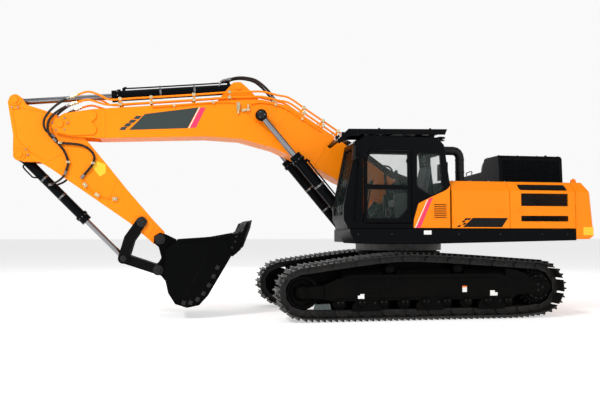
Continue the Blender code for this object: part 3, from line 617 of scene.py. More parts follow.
def shoe_outline(pitch):
    """A shoe across its two ribs, along the chain and outward from its pins."""
    half = pitch / 2 - 0.003
    low, top, tip = 0.056, 0.074, 0.1185
    rib = [(0.070, top), (0.061, tip), (0.044, tip), (0.030, top + 0.002)]
    left = [(-u, v) for u, v in reversed(rib)]
    return [(half, low), (half + 0.010, top - 0.006), (half, top)] + rib + left + [(-half, top),
                                                                                   (-half, low)]


def build_track(side, word):
    """One track: its shoes, their bolts, its links and its pins."""
    centre = side * GAUGE_HALF
    pins = spaced(track_route(PIN_DEPTH), SHOE_COUNT)
    shoes, links, bolts = [], [], []
    for number, pin in enumerate(pins):
        following = pins[(number + 1) % SHOE_COUNT]
        pitch = (following - pin).length
        along = (following - pin).normalized()
        outward = Vector((-along.y, along.x)) * -1
        middle = (pin + following) / 2
        if (middle - Vector((0, 0.55))).dot(outward) < 0:
            outward = -outward
        frame_of_shoe = Matrix(((1, 0, 0, centre), (0, along.x, outward.x, middle.x),
                                (0, along.y, outward.y, middle.y), (0, 0, 0, 1)))
        shoes.append(place_shape(prism(shoe_outline(pitch), "X", -SHOE_HALF, SHOE_HALF), frame_of_shoe))
        for x in (-0.072, 0.072):
            for u in (-0.018, 0.018):
                heads = bolt((x, u, 0.074), (0, 0, 1), 0.014, 0.010)
                bolts += [place_shape(head, frame_of_shoe) for head in heads]
        reach = pitch / 2
        plate = [(-reach - 0.045, -0.03), (-reach - 0.03, -0.054), (reach + 0.03, -0.054),
                 (reach + 0.045, -0.03), (reach + 0.045, 0.02), (reach, 0.040), (0.05, 0.056),
                 (-0.05, 0.056), (-reach, 0.040), (-reach - 0.045, 0.02)]
        near = 0.062 if number % 2 else 0.086
        for strand in (1, -1):
            low, high = sorted((strand * near, strand * (near + 0.022)))
            links.append(place_shape(prism(plate, "X", low, high), frame_of_shoe))
        links.append(place_shape(disc("X", (-reach, 0), 0.027, -0.118, 0.118, 16), frame_of_shoe))
    piece(f"track_shoes_{word}", "undercarriage", "track", shoes, 0.004, (f"track_{word}",))
    piece(f"track_chain_{word}", "undercarriage", "chain", links, 0.0, ())
    piece(f"track_bolts_{word}", "undercarriage", "dark_bolt", bolts)


def build_idler(side, word):
    """A spoked front wheel with a guide rim, on the two plates of its yoke."""
    hub = at_x(side * GAUGE_HALF, IDLER)
    half = [(0.045, 0.302), (0.052, 0.278), (0.104, 0.272), (0.110, 0.262), (0.110, 0.236), (0.070, 0.225),
            (0.052, 0.190), (0.052, 0.150), (0.085, 0.125), (0.125, 0.118), (0.125, 0.0)]
    profile = [(-x, r) for x, r in reversed(half)] + half
    wheel = turned(profile[1:-1], hub, (1, 0, 0), 56)
    yoke = [(-1.66, 0.34), (-1.66, 0.64), (-1.86, 0.60), (-2.20, 0.56)]
    yoke += [(y, z) for y, z in arc((-2.20, 0.485), 0.075, 90, 270, 8)] + [(-1.86, 0.38)]
    shapes = [wheel]
    cap = [(0.0, 0.10), (0.030, 0.10), (0.040, 0.085), (0.040, 0.03), (0.050, 0.02)]
    plates = []
    for face in (1, -1):
        low = side * GAUGE_HALF + face * 0.135
        plates.append(prism(yoke, "X", *sorted((low, low + face * 0.035))))
        shapes.append(turned(cap, at_x(low + face * 0.030, IDLER), (face, 0, 0), 28))
        plates += bolt_ring(IDLER, 0.068, 6, abs(low) + 0.078 if face == side else abs(low) - 0.078, side,
                            0.011)
    piece(f"idler_wheel_{word}", "undercarriage", "frame", shapes, 0.003, (f"idler_{word}",))
    piece(f"idler_yoke_{word}", "undercarriage", "frame", plates, 0.004)


def build_drive(side, word):
    """The toothed wheel and the round gearcase that turns it."""
    teeth = 21
    root, tip = 0.292, 0.352
    outline = []
    for i in range(teeth):
        start = 360 * i / teeth
        step = 360 / teeth
        for share, radius in ((0.0, root), (0.30, root), (0.42, tip - 0.012), (0.52, tip), (0.78, tip),
                              (0.88, tip - 0.012)):
            outline += arc(SPROCKET, radius, start + share * step, start + share * step, 1)[:1]
    shapes = [side_prism(outline, side, GAUGE_HALF - 0.038, GAUGE_HALF + 0.038)]
    cover = [(-0.255, 0.20), (-0.20, 0.235), (-0.04, 0.245), (0.045, 0.245), (0.052, 0.262), (0.078, 0.262),
             (0.085, 0.240), (0.150, 0.236), (0.165, 0.222), (0.170, 0.175), (0.190, 0.160), (0.200, 0.12),
             (0.212, 0.11), (0.216, 0.0)]
    shapes.append(turned(cover[:-1], at_x(side * GAUGE_HALF, SPROCKET), (side, 0, 0), 48))
    bolts = bolt_ring(SPROCKET, 0.250, 24, GAUGE_HALF + 0.078, side, 0.010, 0.010)
    bolts += bolt_ring(SPROCKET, 0.200, 12, GAUGE_HALF + 0.168, side, 0.012, 0.010, 15)
    bolts += bolt_ring(SPROCKET, 0.055, 3, GAUGE_HALF + 0.212, side, 0.016, 0.008)
    piece(f"drive_wheel_{word}", "undercarriage", "frame", shapes, 0.003, (f"final_drive_{word}",))
    piece(f"drive_bolts_{word}", "undercarriage", "dark_bolt", bolts)


def build_frame_trim(side, word):
    """Roller ends, guard plates over the chain, the step plate and the ribs along a track frame, and a dark
    sheet across the inside of the track loop, which is painted shade.
    """
    face = GAUGE_HALF + 0.20
    rollers, plates, bolts = [], [], []
    roller = [(0.0, 0.112), (0.012, 0.112), (0.020, 0.080), (0.035, 0.075), (0.045, 0.050), (0.050, 0.045)]
    for number in range(9):
        y = -1.52 + number * 0.38
        for direction, start in ((side, GAUGE_HALF + 0.155), (-side, GAUGE_HALF - 0.155)):
            rollers.append(turned(roller, at_x(side * start, (y, 0.295)), (direction, 0, 0), 24))
        collar = [(y - 0.07, 0.30), (y - 0.05, 0.36), (y + 0.05, 0.36), (y + 0.07, 0.30), (y + 0.05, 0.255),
                  (y - 0.05, 0.255)]
        plates.append(side_prism(collar, side, face - 0.01, face + 0.03))
        for offset in (-0.04, 0.04):
            bolts += bolt((side * (face + 0.03), y + offset, 0.318), (side, 0, 0), 0.012)
    for y in (-0.62, 0.62):
        for direction, start in ((side, GAUGE_HALF + 0.135), (-side, GAUGE_HALF - 0.135)):
            cap = [(0.0, 0.08), (0.010, 0.08), (0.020, 0.055), (0.035, 0.05), (0.040, 0.03)]
            rollers.append(turned(cap, at_x(side * start, (y, 0.86)), (direction, 0, 0), 24))
    for front in (-1.30, -0.16, 0.98):
        guard = [(front, 0.16), (front + 0.50, 0.16), (front + 0.50, 0.26), (front + 0.44, 0.345),
                 (front + 0.06, 0.345), (front, 0.26)]
        plates.append(side_prism(guard, side, face - 0.045, face - 0.015))
        for y in (front + 0.10, front + 0.40):
            bolts += bolt((side * (face - 0.015), y, 0.30), (side, 0, 0), 0.014)
    slopes = [(side * (GAUGE_HALF + 0.19), 0.70), (side * (GAUGE_HALF + 0.05), 0.865),
              (side * (GAUGE_HALF - 0.05), 0.865), (side * (GAUGE_HALF - 0.19), 0.70)]
    ridges = [prism(slopes, "Y", low, high) for low, high in ((-1.45, -0.74), (-0.50, 0.50), (0.74, 1.55))]
    tail = [(1.50, 0.62), (2.05, 0.62), (1.90, 0.76), (1.70, 0.84), (1.50, 0.865)]
    ridges.append(side_prism(tail, side, GAUGE_HALF + 0.07, GAUGE_HALF + 0.19))
    ridges.append(side_prism(tail, side, GAUGE_HALF - 0.19, GAUGE_HALF - 0.07))
    piece(f"frame_ridge_{word}", "undercarriage", "frame", ridges, 0.006)
    # A dark sheet filling the track loop on its inner side: painted shade for the shadow under the machine
    # seen through the loop.
    pins = [tuple(point) for point in track_route(PIN_DEPTH) if -2.15 < point.x < 2.30]
    shade_sheets = [side_prism(pins, side, GAUGE_HALF - 0.20, GAUGE_HALF - 0.185)]
    piece(f"painted_shade_sheet_{word}", "undercarriage", "frame", shade_sheets)
    rib = [(-1.60, 0.700), (1.30, 0.700), (1.30, 0.716), (-1.60, 0.716)]
    lower = [(-1.60, 0.372), (1.60, 0.372), (1.60, 0.386), (-1.60, 0.386)]
    plates += [side_prism(rib, side, face - 0.002, face + 0.010),
               side_prism(lower, side, face - 0.002, face + 0.010)]
    cover = [(-1.40, 0.46), (-0.72, 0.46), (-0.72, 0.66), (-1.40, 0.66)]
    plates.append(side_prism(cover, side, face - 0.002, face + 0.008))
    motor = [(1.66, 0.40), (1.66, 0.68), (2.34, 0.62), (2.36, 0.56), (2.36, 0.50), (2.32, 0.45)]
    plates.append(side_prism(motor, side, face - 0.03, face - 0.005))
    step = [(-1.975, 0.205), (-1.675, 0.200), (-1.700, 0.300), (-1.945, 0.292)]
    piece(f"roller_ends_{word}", "undercarriage", "frame", rollers, 0.002)
    piece(f"frame_plates_{word}", "undercarriage", "frame", plates, 0.004)
    piece(f"frame_bolts_{word}", "undercarriage", "dark_bolt", bolts)
    piece(f"step_plate_{word}", "undercarriage", "trim", [side_prism(step, side, face - 0.03, face + 0.03)],
          0.006)
    labels = [[(-1.21, 0.375), (-1.10, 0.375), (-1.10, 0.455), (-1.17, 0.455), (-1.17, 0.43), (-1.21, 0.43)],
              [(0.672, 0.464), (0.752, 0.464), (0.752, 0.545), (0.672, 0.545)],
              [(1.190, 0.395), (1.325, 0.395), (1.325, 0.450), (1.275, 0.450), (1.275, 0.485),
               (1.190, 0.485)]]
    blank = [side_prism(label, side, face + 0.001, face + 0.0125) for label in labels]
    piece(f"frame_labels_{word}", "undercarriage", "decal_white", blank)
    top = [(0.672, 0.547), (0.752, 0.547), (0.752, 0.570), (0.672, 0.570)]
    piece(f"frame_label_top_{word}", "undercarriage", "label_orange",
          [side_prism(top, side, face, face + 0.0125)])


def build_turntable():
    """The ring's bolts and the round seat under it."""
    bolts = []
    for i in range(36):
        turn = math.radians(10 * i)
        bolts += bolt((0.775 * math.cos(turn), 0.775 * math.sin(turn), 1.294), (0, 0, 1), 0.014, 0.004)
    piece("ring_bolts", "undercarriage", "dark_bolt", bolts)
    skirt = [(0.0, 0.785), (0.035, 0.785), (0.040, 0.765), (0.36, 0.765), (0.37, 0.80), (0.40, 0.80)]
    piece("ring_seat", "undercarriage", "frame", [turned(skirt, (0, 0, 0.745), (0, 0, 1), 64)], 0.004)


def build_undercarriage():
    """The trim of both tracks, their frames and what lies between them."""
    for side, word in ((1, "left"), (-1, "right")):
        build_track(side, word)
        build_idler(side, word)
        build_drive(side, word)
        build_frame_trim(side, word)
    build_turntable()


# Upper structure

def checkers(corners, side, x, colour, body, name):
    """Small four-cornered marks of a chequered stripe, each from its own corners."""
    piece(name, body, colour, [side_prism(corner, side, x, x + 0.0015) for corner in corners])


def slanted(y, z, width, height, lean):
    """A four-cornered mark leaning rearward by lean over its height."""
    return [(y, z), (y + width, z), (y + width + lean, z + height), (y + lean, z + height)]


def latch(y, z, side, x, width=0.12, height=0.07):
    """A flush paddle latch: its rim, its dish, its paddle and its lock."""
    rim = box((x, y - width / 2, z - height / 2), (x + 0.005, y + width / 2, z + height / 2))
    paddle = box((x + 0.005, y - width / 2 + 0.012, z - height / 2 + 0.014),
                 (x + 0.012, y + width / 2 - 0.035, z + height / 2 - 0.010))
    lock = disc("X", (y + width / 2 - 0.018, z), 0.011, x + 0.005, x + 0.010, 16)
    shapes = [rim, paddle, lock]
    if side < 0:
        shapes = [place_shape(shape, Matrix.Scale(-1, 4, (1, 0, 0))) for shape in shapes]
        for shape in shapes:
            bmesh.ops.reverse_faces(shape, faces=shape.faces)
    return shapes


def hinge(place, axis, length=0.09, radius=0.011):
    """A barrel hinge with its three knuckles."""
    middle = Vector(place)
    along = Vector(axis).normalized()
    shapes = []
    for number in (-1, 0, 1):
        start = middle + along * (number * length / 3 - length / 6.4)
        shapes.append(rod(start, start + along * length / 3.2, radius if number else radius * 0.92, 14))
    return shapes


def build_left_doors():
    """Latches, hinges, the chequered stripe and the louvred windows of the two left doors."""
    face = HOUSE_HALF
    stripe = [(0.700, 1.595), (1.434, 1.595), (1.551, 1.758), (0.889, 1.758), (0.850, 1.725)]
    piece("side_stripe", "side_door_left_front", "decal_black", [side_prism(stripe, 1, face, face + 0.0015)])
    marks = []
    for row in range(4):
        z = 1.595 + row * 0.041
        for column in range(2):
            if (row + column) % 2 == 0 or row == 3:
                marks.append(slanted(0.588 + column * 0.056 + row * 0.043, z, 0.050, 0.035, 0.034))
    checkers(marks, 1, face, "decal_black", "side_door_left_front", "side_stripe_squares")
    piece("side_mark", "house", "decal_white", [box((CAB_LEFT, 0.37, 1.60),
                                                    (CAB_LEFT + 0.0015, 0.42, 1.63))])
    piece("front_door_latch", "side_door_left_front", "orange", latch(1.403, 1.888, 1, face, 0.135, 0.078),
          0.003)
    piece("rear_door_latch", "side_door_left_rear", "orange", latch(1.787, 1.888, 1, face, 0.115, 0.074),
          0.003)
    piece("rear_door_hinges", "house", "orange",
          hinge((face + 0.006, 2.872, 1.72), (0, 0, 1)) + hinge((face + 0.006, 2.872, 2.10), (0, 0, 1)))
    piece("front_door_hinges", "house", "orange",
          hinge((face + 0.006, 0.512, 1.72), (0, 0, 1)) + hinge((face + 0.006, 0.512, 2.10), (0, 0, 1)))
    inset = face - 0.030
    wires = []
    for number in range(46):
        y = 1.812 + number * 0.0202
        wires.append(box((inset, y, 1.978), (inset + 0.003, y + 0.006, 2.198)))
    for number in range(11):
        z = 1.984 + number * 0.0205
        wires.append(box((inset + 0.003, 1.812, z), (inset + 0.006, 2.728, z + 0.006)))
    piece("rear_door_screen", "side_door_left_rear", "mesh", wires)
    rim = []
    for low, high, front, rear in ((1.976, 1.982, 1.811, 2.729), (2.193, 2.199, 1.811, 2.729),
                                   (2.083, 2.089, 1.811, 2.729)):
        rim.append(box((inset, front, low), (face - 0.010, rear, high)))
    piece("rear_door_bars", "side_door_left_rear", "mesh", rim)
    slats = []
    for number in range(5):
        z = 1.708 + number * 0.019
        slat = [(face - 0.036, z + 0.012), (face - 0.034, z + 0.015), (face - 0.008, z + 0.004),
                (face - 0.010, z)]
        slats.append(prism(slat, "Y", 1.812, 2.728))
    for number in range(4):
        y = 1.97 + number * 0.19
        slats.append(box((face - 0.034, y, 1.702), (face - 0.012, y + 0.010, 1.798)))
    piece("rear_door_louvres", "side_door_left_rear", "mesh", slats)
    slope = [(1.458, 2.276), (1.368, 2.366), (1.366, 2.364), (1.456, 2.274)]
    top = [prism(slope, "Y", 1.79, 2.71)]
    for number in range(23):
        y = 1.815 + number * 0.0385
        slat = [(1.452, 2.288), (1.376, 2.364), (1.372, 2.360), (1.448, 2.284)]
        top.append(prism(slat, "Y", y, y + 0.012))
    piece("rear_door_top_grille", "side_door_left_rear", "mesh", top)
    seals = [box((face - 0.048, 0.512, DECK_Z + 0.03), (face - 0.040, 1.585, DECK_Z + 0.045))]
    piece("front_door_seal", "side_door_left_front", "gasket", seals)
    ribs = [box((face - 0.055, y, 1.62), (face - 0.041, y + 0.05, 2.18)) for y in (0.70, 1.05, 1.36)]
    piece("front_door_ribs", "side_door_left_front", "orange", ribs, 0.003)


def build_right_side():
    """The right door's louvres, the tanks' filler, gauge and seams, and the tool box's tread and lid."""
    face = HOUSE_HALF
    slats = []
    for number in range(7):
        z = 1.90 + number * 0.042
        slat = [(-face, z), (-face - 0.010, z + 0.003), (-face - 0.010, z + 0.008), (-face, z + 0.026)]
        slats.append(prism(slat, "Y", 1.90, 2.68))
    piece("right_door_louvres", "side_door_right", "orange", slats, 0.002)
    piece("right_door_latch", "side_door_right", "plastic", latch(1.82, 1.80, -1, face), 0.003)
    piece("right_door_hinges", "house", "orange",
          hinge((-face - 0.006, 2.872, 1.72), (0, 0, 1)) + hinge((-face - 0.006, 2.872, 2.10), (0, 0, 1)))
    filler = [turned([(0, 0.062), (0.012, 0.062), (0.014, 0.050), (0.055, 0.050), (0.062, 0.044)],
                     (-1.10, -0.35, 2.400), (0, 0, 1), 28)]
    filler.append(turned([(0, 0.050), (0.03, 0.050), (0.036, 0.042)], (-1.02, 1.22, 2.400), (0, 0, 1), 28))
    piece("tank_fillers", "house", "black", filler, 0.002)
    piece("tank_cover", "house", "orange", [box((-1.24, 0.72, 2.400), (-0.86, 1.08, 2.412))], 0.004)
    bolts = []
    for x, y in ((-1.21, 0.75), (-0.89, 0.75), (-1.21, 1.05), (-0.89, 1.05)):
        bolts += bolt((x, y, 2.412), (0, 0, 1), 0.013)
    piece("tank_cover_bolts", "house", "bolt", bolts)
    gauge = [box((-face - 0.010, 0.66, 1.78), (-face, 0.70, 2.00)),
             box((-face - 0.010, 0.10, 1.72), (-face, 0.14, 2.02))]
    piece("tank_gauges", "house", "black", gauge, 0.002)
    piece("gauge_glasses", "house", "lamp", [box((-face - 0.012, 0.67, 1.80), (-face - 0.0102, 0.69, 1.98)),
                                             box((-face - 0.012, 0.11, 1.74), (-face - 0.0102, 0.13, 2.00))])
    ribs = []
    for rib in range(9):
        y = -0.885 + rib * 0.028
        ribs.append(box((-1.46, y, 2.1405), (-0.92, y + 0.010, 2.149)))
    rail = [(-1.505, -0.60, 1.70), (-1.545, -0.60, 1.72), (-1.545, -0.60, 2.20), (-1.505, -0.60, 2.22)]
    piece("side_grab", "house", "black", [tube(curve(rail, 5), 0.011, 10)])
    piece("tool_box_tread", "house", "trim", ribs, 0.002)
    lid = [box((-1.478, -0.905, 1.64), (-0.70, -0.901, 2.10))]
    piece("tool_box_lid", "house", "black", lid, 0.003)
    piece("tool_box_hinges", "house", "black", hinge((-1.30, -0.906, 2.105),
                                                     (1, 0, 0)) + hinge((-0.88, -0.906, 2.105), (1, 0, 0)))
    seam = [box((-face - 0.0015, -0.61, 1.62), (-face, 0.52, 1.625)),
            box((-face - 0.0015, 0.55, 1.62), (-face, 1.675, 1.625))]
    piece("tank_seams", "house", "orange", seam)


def weight_plan(front, rear, lift, steps=8):
    """Points along the counterweight's left side in plan: straight, and then round its curved back."""
    sagitta = TAIL_RADIUS - WEIGHT_CORNER
    radius = (HOUSE_HALF ** 2 + sagitta ** 2) / (2 * sagitta)
    centre = TAIL_RADIUS - radius
    corner = math.asin(HOUSE_HALF / radius)
    points = [(HOUSE_HALF + lift, front), (HOUSE_HALF + lift, WEIGHT_CORNER)]
    last = math.acos((rear - centre) / radius)
    for i in range(1, steps + 1):
        turn = corner + (last - corner) * i / steps
        points.append(((radius + lift) * math.sin(turn), centre + (radius + lift) * math.cos(turn)))
    return points


def build_counterweight_trim():
    """The lifting eyes, the blank label, the seam and the tread of the counterweight."""
    eyes = []
    for x in (-1.12, 1.12):
        plate = arc((3.06, BODY_TOP + 0.035), 0.05, 0, 180, 12) + [(3.00, BODY_TOP - 0.03),
                                                                   (3.12, BODY_TOP - 0.03)]
        eyes.append(prism(plate, "X", x - 0.018, x + 0.018))
        eyes.append(tube(curve([(x, 3.02, BODY_TOP + 0.025), (x, 3.06, BODY_TOP + 0.078),
                                (x, 3.10, BODY_TOP + 0.025)], 6), 0.014, 10))
    piece("weight_eyes", "house", "orange", eyes, 0.004)
    band = weight_plan(3.02, 3.40, 0.0015) + list(reversed(weight_plan(3.02, 3.40, -0.004)))
    piece("weight_label", "house", "label_yellow", [prism(band, "Z", 1.452, 1.60)])
    seam = [box((-1.20, REAR_Y + 0.001, BODY_TOP), (1.20, REAR_Y + 0.020, BODY_TOP + 0.006))]
    piece("weight_seam", "house", "gasket", seam)
    tread = []
    for number in range(14):
        x = -0.62 + number * 0.095
        tread.append(box((x, 2.96, BODY_TOP), (x + 0.055, 3.30, BODY_TOP + 0.006)))
    piece("weight_tread", "house", "trim", tread, 0.002)


def build_deck():
    """The deck's bolts, tread studs and cover plate, and the air duct's bands, mouth and grille."""
    bolts = []
    for y in (0.60, 0.95, 1.30, 1.62):
        bolts += bolt((1.26, y, BODY_TOP), (0, 0, 1), 0.014)
    for x in (0.30, 0.62, 0.94):
        bolts += bolt((x, 0.54, BODY_TOP), (0, 0, 1), 0.014)
    piece("deck_bolts", "house", "bolt", bolts)
    tread = []
    for row in range(9):
        for column in range(5):
            tread.append(disc("Z", (0.88 + column * 0.075, 0.62 + row * 0.105), 0.014, BODY_TOP,
                              BODY_TOP + 0.005, 12))
    piece("deck_tread", "house", "trim", tread)
    band = turned([(0, 0.122), (0.022, 0.122), (0.026, 0.116)], (0.72, 0.98, 2.445), (0, 0, 1), 32)
    bead = [(0, 0.085), (0.004, 0.089), (0.018, 0.089), (0.022, 0.085)]
    beads = [turned(bead, (0.72, 0.98, z), (0, 0, 1), 32) for z in (2.62, 2.85)]
    mouth = turned([(0, 0.084), (0.004, 0.094), (0.045, 0.094), (0.050, 0.084)], (0.72, 0.545, 3.03),
                   (0, -1, 0), 32)
    piece("duct_bands", "house", "plastic", [band, *beads, mouth], 0.001)
    bars = [box((0.655, 0.497, 2.972 + n * 0.025), (0.785, 0.500, 2.977 + n * 0.025)) for n in range(5)]
    piece("duct_grille", "house", "mesh", bars)
    plate = [box((0.79, 0.505, 2.45), (1.27, 0.525, 2.76))]
    piece("deck_plate", "house", "black", plate, 0.006)


def build_hood():
    """The raised box's grille, the hood's latches, vents and eye."""
    front, rear = 1.74, 2.90
    bays = 5
    slats, posts = [], []
    for bay in range(bays):
        start = front + (rear - front) * bay / bays + 0.012
        end = front + (rear - front) * (bay + 1) / bays - 0.012
        for row in range(9):
            z = 2.49 + row * 0.043
            inner = 0.930 - (z - 2.445) * 0.0435
            slat = [(inner - 0.004, z + 0.022), (inner + 0.006, z + 0.026), (inner + 0.020, z + 0.004),
                    (inner - 0.004, z)]
            slats.append(prism(slat, "Y", start, end))
    for edge in range(bays + 1):
        y = front + (rear - front) * edge / bays
        posts.append(prism([(0.926, 2.47), (0.938, 2.47), (0.920, 2.885), (0.906, 2.885)], "Y", y - 0.008,
                           y + 0.008))
    piece("hood_slats", "engine_hood", "black", slats)
    piece("hood_posts", "engine_hood", "black", posts, 0.002)
    eye = arc((2.80, 2.965), 0.035, 0, 180, 10) + [(2.76, 2.94), (2.84, 2.94)]
    latches = []
    for y in (1.95, 2.45):
        latches.append(box((-0.935, y, 2.50), (-0.920, y + 0.10, 2.60)))
    piece("hood_eye", "engine_hood", "black", [prism(eye, "X", 0.60, 0.615)] + latches, 0.003)
    louvres = []
    for row in range(7):
        y = 1.85 + row * 0.13
        louvres.append(prism([(y, 2.673), (y + 0.07, 2.715), (y + 0.08, 2.715), (y + 0.085, 2.673)], "X",
                             -0.72, -0.22))
    piece("hood_louvres", "engine_hood", "black", louvres, 0.003)
    bolts = []
    for y in (1.72, 2.10, 2.50, 2.93):
        for across in (0.36, 0.82):
            bolts += bolt((across, y, 2.95), (0, 0, 1), 0.011)
    piece("hood_bolts", "engine_hood", "dark_bolt", bolts)
    piece("hood_grab", "engine_hood", "black", [tube(curve([(-0.60, 1.70, 2.685), (-0.60, 1.70, 2.74),
                                                            (-0.35, 1.70, 2.75), (-0.35, 1.70, 2.69)], 5),
                                                     0.010, 10)])


def build_exhaust():
    """The pipe's slanted mouth and its flange, and what sits on the engine block."""
    elbow = curve([(-1.04, 2.30, 2.80), (-1.04, 2.30, 2.90), (-1.04, 2.335, 2.985), (-1.04, 2.42, 3.04)], 6)
    shapes = [tube(elbow, 0.058, 24), turned([(0, 0.105), (0.012, 0.105), (0.016, 0.085), (0.04, 0.075)],
                                             (-1.04, 2.30, BODY_TOP), (0, 0, 1), 32)]
    piece("exhaust_elbow", "house", "engine", shapes, 0.001)
    bolts = []
    for turn in range(6):
        angle = math.radians(60 * turn + 15)
        bolts += bolt((-1.04 + 0.093 * math.cos(angle), 2.30 + 0.093 * math.sin(angle), BODY_TOP + 0.012),
                      (0, 0, 1), 0.010)
    piece("exhaust_bolts", "house", "bolt", bolts)
    covers, pipes = [], []
    for number in range(6):
        x = -0.50 + number * 0.195
        covers.append(box((x, 1.98, 2.60), (x + 0.155, 2.22, 2.635)))
        pipes.append(tube(curve([(x + 0.08, 2.30, 2.622), (x + 0.08, 2.34, 2.632), (x + 0.08, 2.45, 2.628)],
                                3), 0.008, 8))
    piece("engine_covers", "house", "engine", covers, 0.008)
    piece("engine_pipes", "house", "bolt", pipes)


def build_band():
    """Blank labels and bolts on the swing frame's band, the control valve and the swing motor."""
    face = HOUSE_HALF
    piece("band_label", "house", "decal_white", [box((face, -0.02, 1.465), (face + 0.0015, 0.118, 1.535))])
    bolts = []
    for side in (1, -1):
        for y in (-1.20, -0.60, 0.62, 1.40, 2.20, 2.70):
            if side > 0 or y > -0.7:
                bolts += bolt((side * face, y, 1.47), (side, 0, 0), 0.013)
    piece("band_bolts", "house", "dark_bolt", bolts)
    valve = [box((-0.26, 0.70, DECK_Z), (0.34, 1.30, 1.86)), box((-0.20, 0.62, 1.62), (0.28, 0.70, 1.80))]
    for row in range(5):
        for column in range(2):
            x = -0.18 + row * 0.11
            valve.append(turned([(0, 0.030), (0.05, 0.030), (0.055, 0.022)], (x, 0.84 + column * 0.30, 1.86),
                                (0, 0, 1), 16))
    motor = [turned([(0, 0.22), (0.16, 0.22), (0.17, 0.19), (0.30, 0.17), (0.32, 0.12), (0.35, 0.11)],
                    (0.0, 0.33, DECK_Z), (0, 0, 1), 36)]
    piece("control_valve", "house", "engine", valve, 0.008)
    piece("swing_motor", "house", "frame", motor, 0.004)


# Cab

def swoosh():
    """The lower rear panel, divided from the cab's black by a long curve."""
    edge = curve([(0, 0.484, 2.335), (0, 0.401, 2.245), (0, 0.104, 2.110), (0, -0.105, 2.005)], 6)
    return [(p.y, p.z) for p in edge]


def build_cab_panel():
    """The swept panel behind the door, with its stripes, ridge and rear edge."""
    face = CAB_LEFT
    outline = swoosh() + [(-0.190, 1.725), (-0.2, DECK_Z + 0.02), (0.478, DECK_Z + 0.02)]
    outline[0] = (0.478, 2.330)
    piece("cab_panel", "house", "orange", [side_prism(outline, 1, face, face + 0.008)], 0.003)
    stripe = [(0.159, 2.114), (0.085, 2.086), (-0.148, 1.582), (-0.075, 1.582)]
    piece("cab_stripe", "house", "decal_red", [side_prism(stripe, 1, face + 0.008, face + 0.0095)])
    line = [(0.070, 2.080), (0.052, 2.070), (-0.176, 1.582), (-0.160, 1.582)]
    piece("cab_stripe_line", "house", "decal_white", [side_prism(line, 1, face + 0.008, face + 0.0095)])
    ridge = [(p.y, p.z) for p in curve([(0, 0.484, 2.345), (0, 0.401, 2.258), (0, 0.104, 2.122),
                                        (0, -0.205, 1.965)], 6)]
    bar = [(face + 0.004, y, z) for y, z in ridge]
    piece("cab_ridge", "house", "black", [tube(bar, 0.007, 8)])
    frame_bar = [box((face + 0.008, 0.148, 1.728), (face + 0.013, 0.433, 2.041))]
    piece("cab_vent_frame", "house", "orange", frame_bar, 0.003)
    vents = []
    for row in range(7):
        z = 1.757 + row * 0.037
        vents.append(box((face + 0.0125, 0.178, z), (face + 0.0145, 0.402, z + 0.015)))
    piece("cab_vent_slots", "house", "mesh", vents)
    lips = []
    for row in range(7):
        z = 1.772 + row * 0.037
        lips.append(prism([(face + 0.012, z), (face + 0.024, z), (face + 0.012, z + 0.016)], "Y", 0.172,
                          0.408))
    piece("cab_vent_lips", "house", "orange", lips, 0.001)


def build_cab_door():
    """Seals, handle, hinges, inner rail and pocket of the door, which swing with it."""
    face = 1.475
    upper = [(-1.03, 2.32), (-1.03, 2.80), (-0.95, 2.88), (-0.30, 2.88), (-0.30, 2.32)]
    lower = [(-1.03, 1.74), (-1.03, 2.25), (-0.30, 2.25), (-0.30, 1.92), (-0.46, 1.74)]
    seals = []
    for outline in (upper, lower):
        loop = [(face - 0.016, y, z) for y, z in rounded_loop(outline, 0.045)]
        seals.append(tube(loop, 0.009, 8, closed=True))
    piece("door_seals", "cab_door", "gasket", seals)
    handle_ring = [(face + 0.002 + 0.004 * math.sin(2 * math.radians(t)),
                    -0.662 + 0.045 * math.cos(math.radians(t)),
                    1.835 + 0.068 * math.sin(math.radians(t))) for t in range(0, 360, 12)]
    dish = prism([(-0.662 + 0.043 * math.cos(math.radians(t)), 1.835 + 0.066 * math.sin(math.radians(t)))
                  for t in range(0, 360, 12)], "X", face, face + 0.003)
    grip = tube(curve([(face + 0.004, -0.662, 1.785), (face + 0.020, -0.660, 1.810),
                       (face + 0.020, -0.660, 1.860), (face + 0.004, -0.662, 1.885)], 5), 0.010, 10)
    piece("door_handle_rim", "cab_door", "trim", [tube(handle_ring, 0.005, 8, closed=True)])
    piece("door_handle", "cab_door", "plastic", [dish, grip], 0.001)
    hinges = []
    for z in (1.86, 2.74):
        hinges += hinge((face + 0.014, -0.222, z), (0, 0, 1), 0.11, 0.013)
        hinges.append(box((face, -0.33, z - 0.03), (face + 0.008, -0.235, z + 0.03)))
    piece("door_hinges", "cab_door", "black", hinges, 0.002)
    rail = curve([(face - 0.052, -1.00, 2.28), (face - 0.10, -0.98, 2.285), (face - 0.10, -0.40, 2.285),
                  (face - 0.052, -0.38, 2.28)], 6)
    piece("door_inner_rail", "cab_door", "plastic", [tube(rail, 0.012, 10)])
    pad = box((face - 0.065, -0.95, 1.70), (face - 0.051, -0.55, 1.735))
    piece("door_pocket", "cab_door", "plastic", [pad], 0.003)


def rounded_loop(outline, radius, steps=5):
    """A closed outline with its corners rounded off."""
    points = [Vector(point) for point in outline]
    loop = []
    for number, corner in enumerate(points):
        before = points[number - 1]
        after = points[(number + 1) % len(points)]
        reach = min(radius, (before - corner).length / 2.2, (after - corner).length / 2.2)
        start = corner + (before - corner).normalized() * reach
        end = corner + (after - corner).normalized() * reach
        for i in range(steps + 1):
            t = i / steps
            loop.append(tuple(start * (1 - t) ** 2 + corner * 2 * t * (1 - t) + end * t ** 2))
    return loop


def cab_front(z):
    """Where the cab's front face lies at this height."""
    return -1.444 if z < 1.95 else -1.44 + 0.23 * (z - 1.95) / 1.11


def cab_rear(z):
    """Where the cab's rear face lies at this height."""
    return 0.484 if z < 2.35 else 0.484 - 0.104 * (z - 2.35) / 0.69


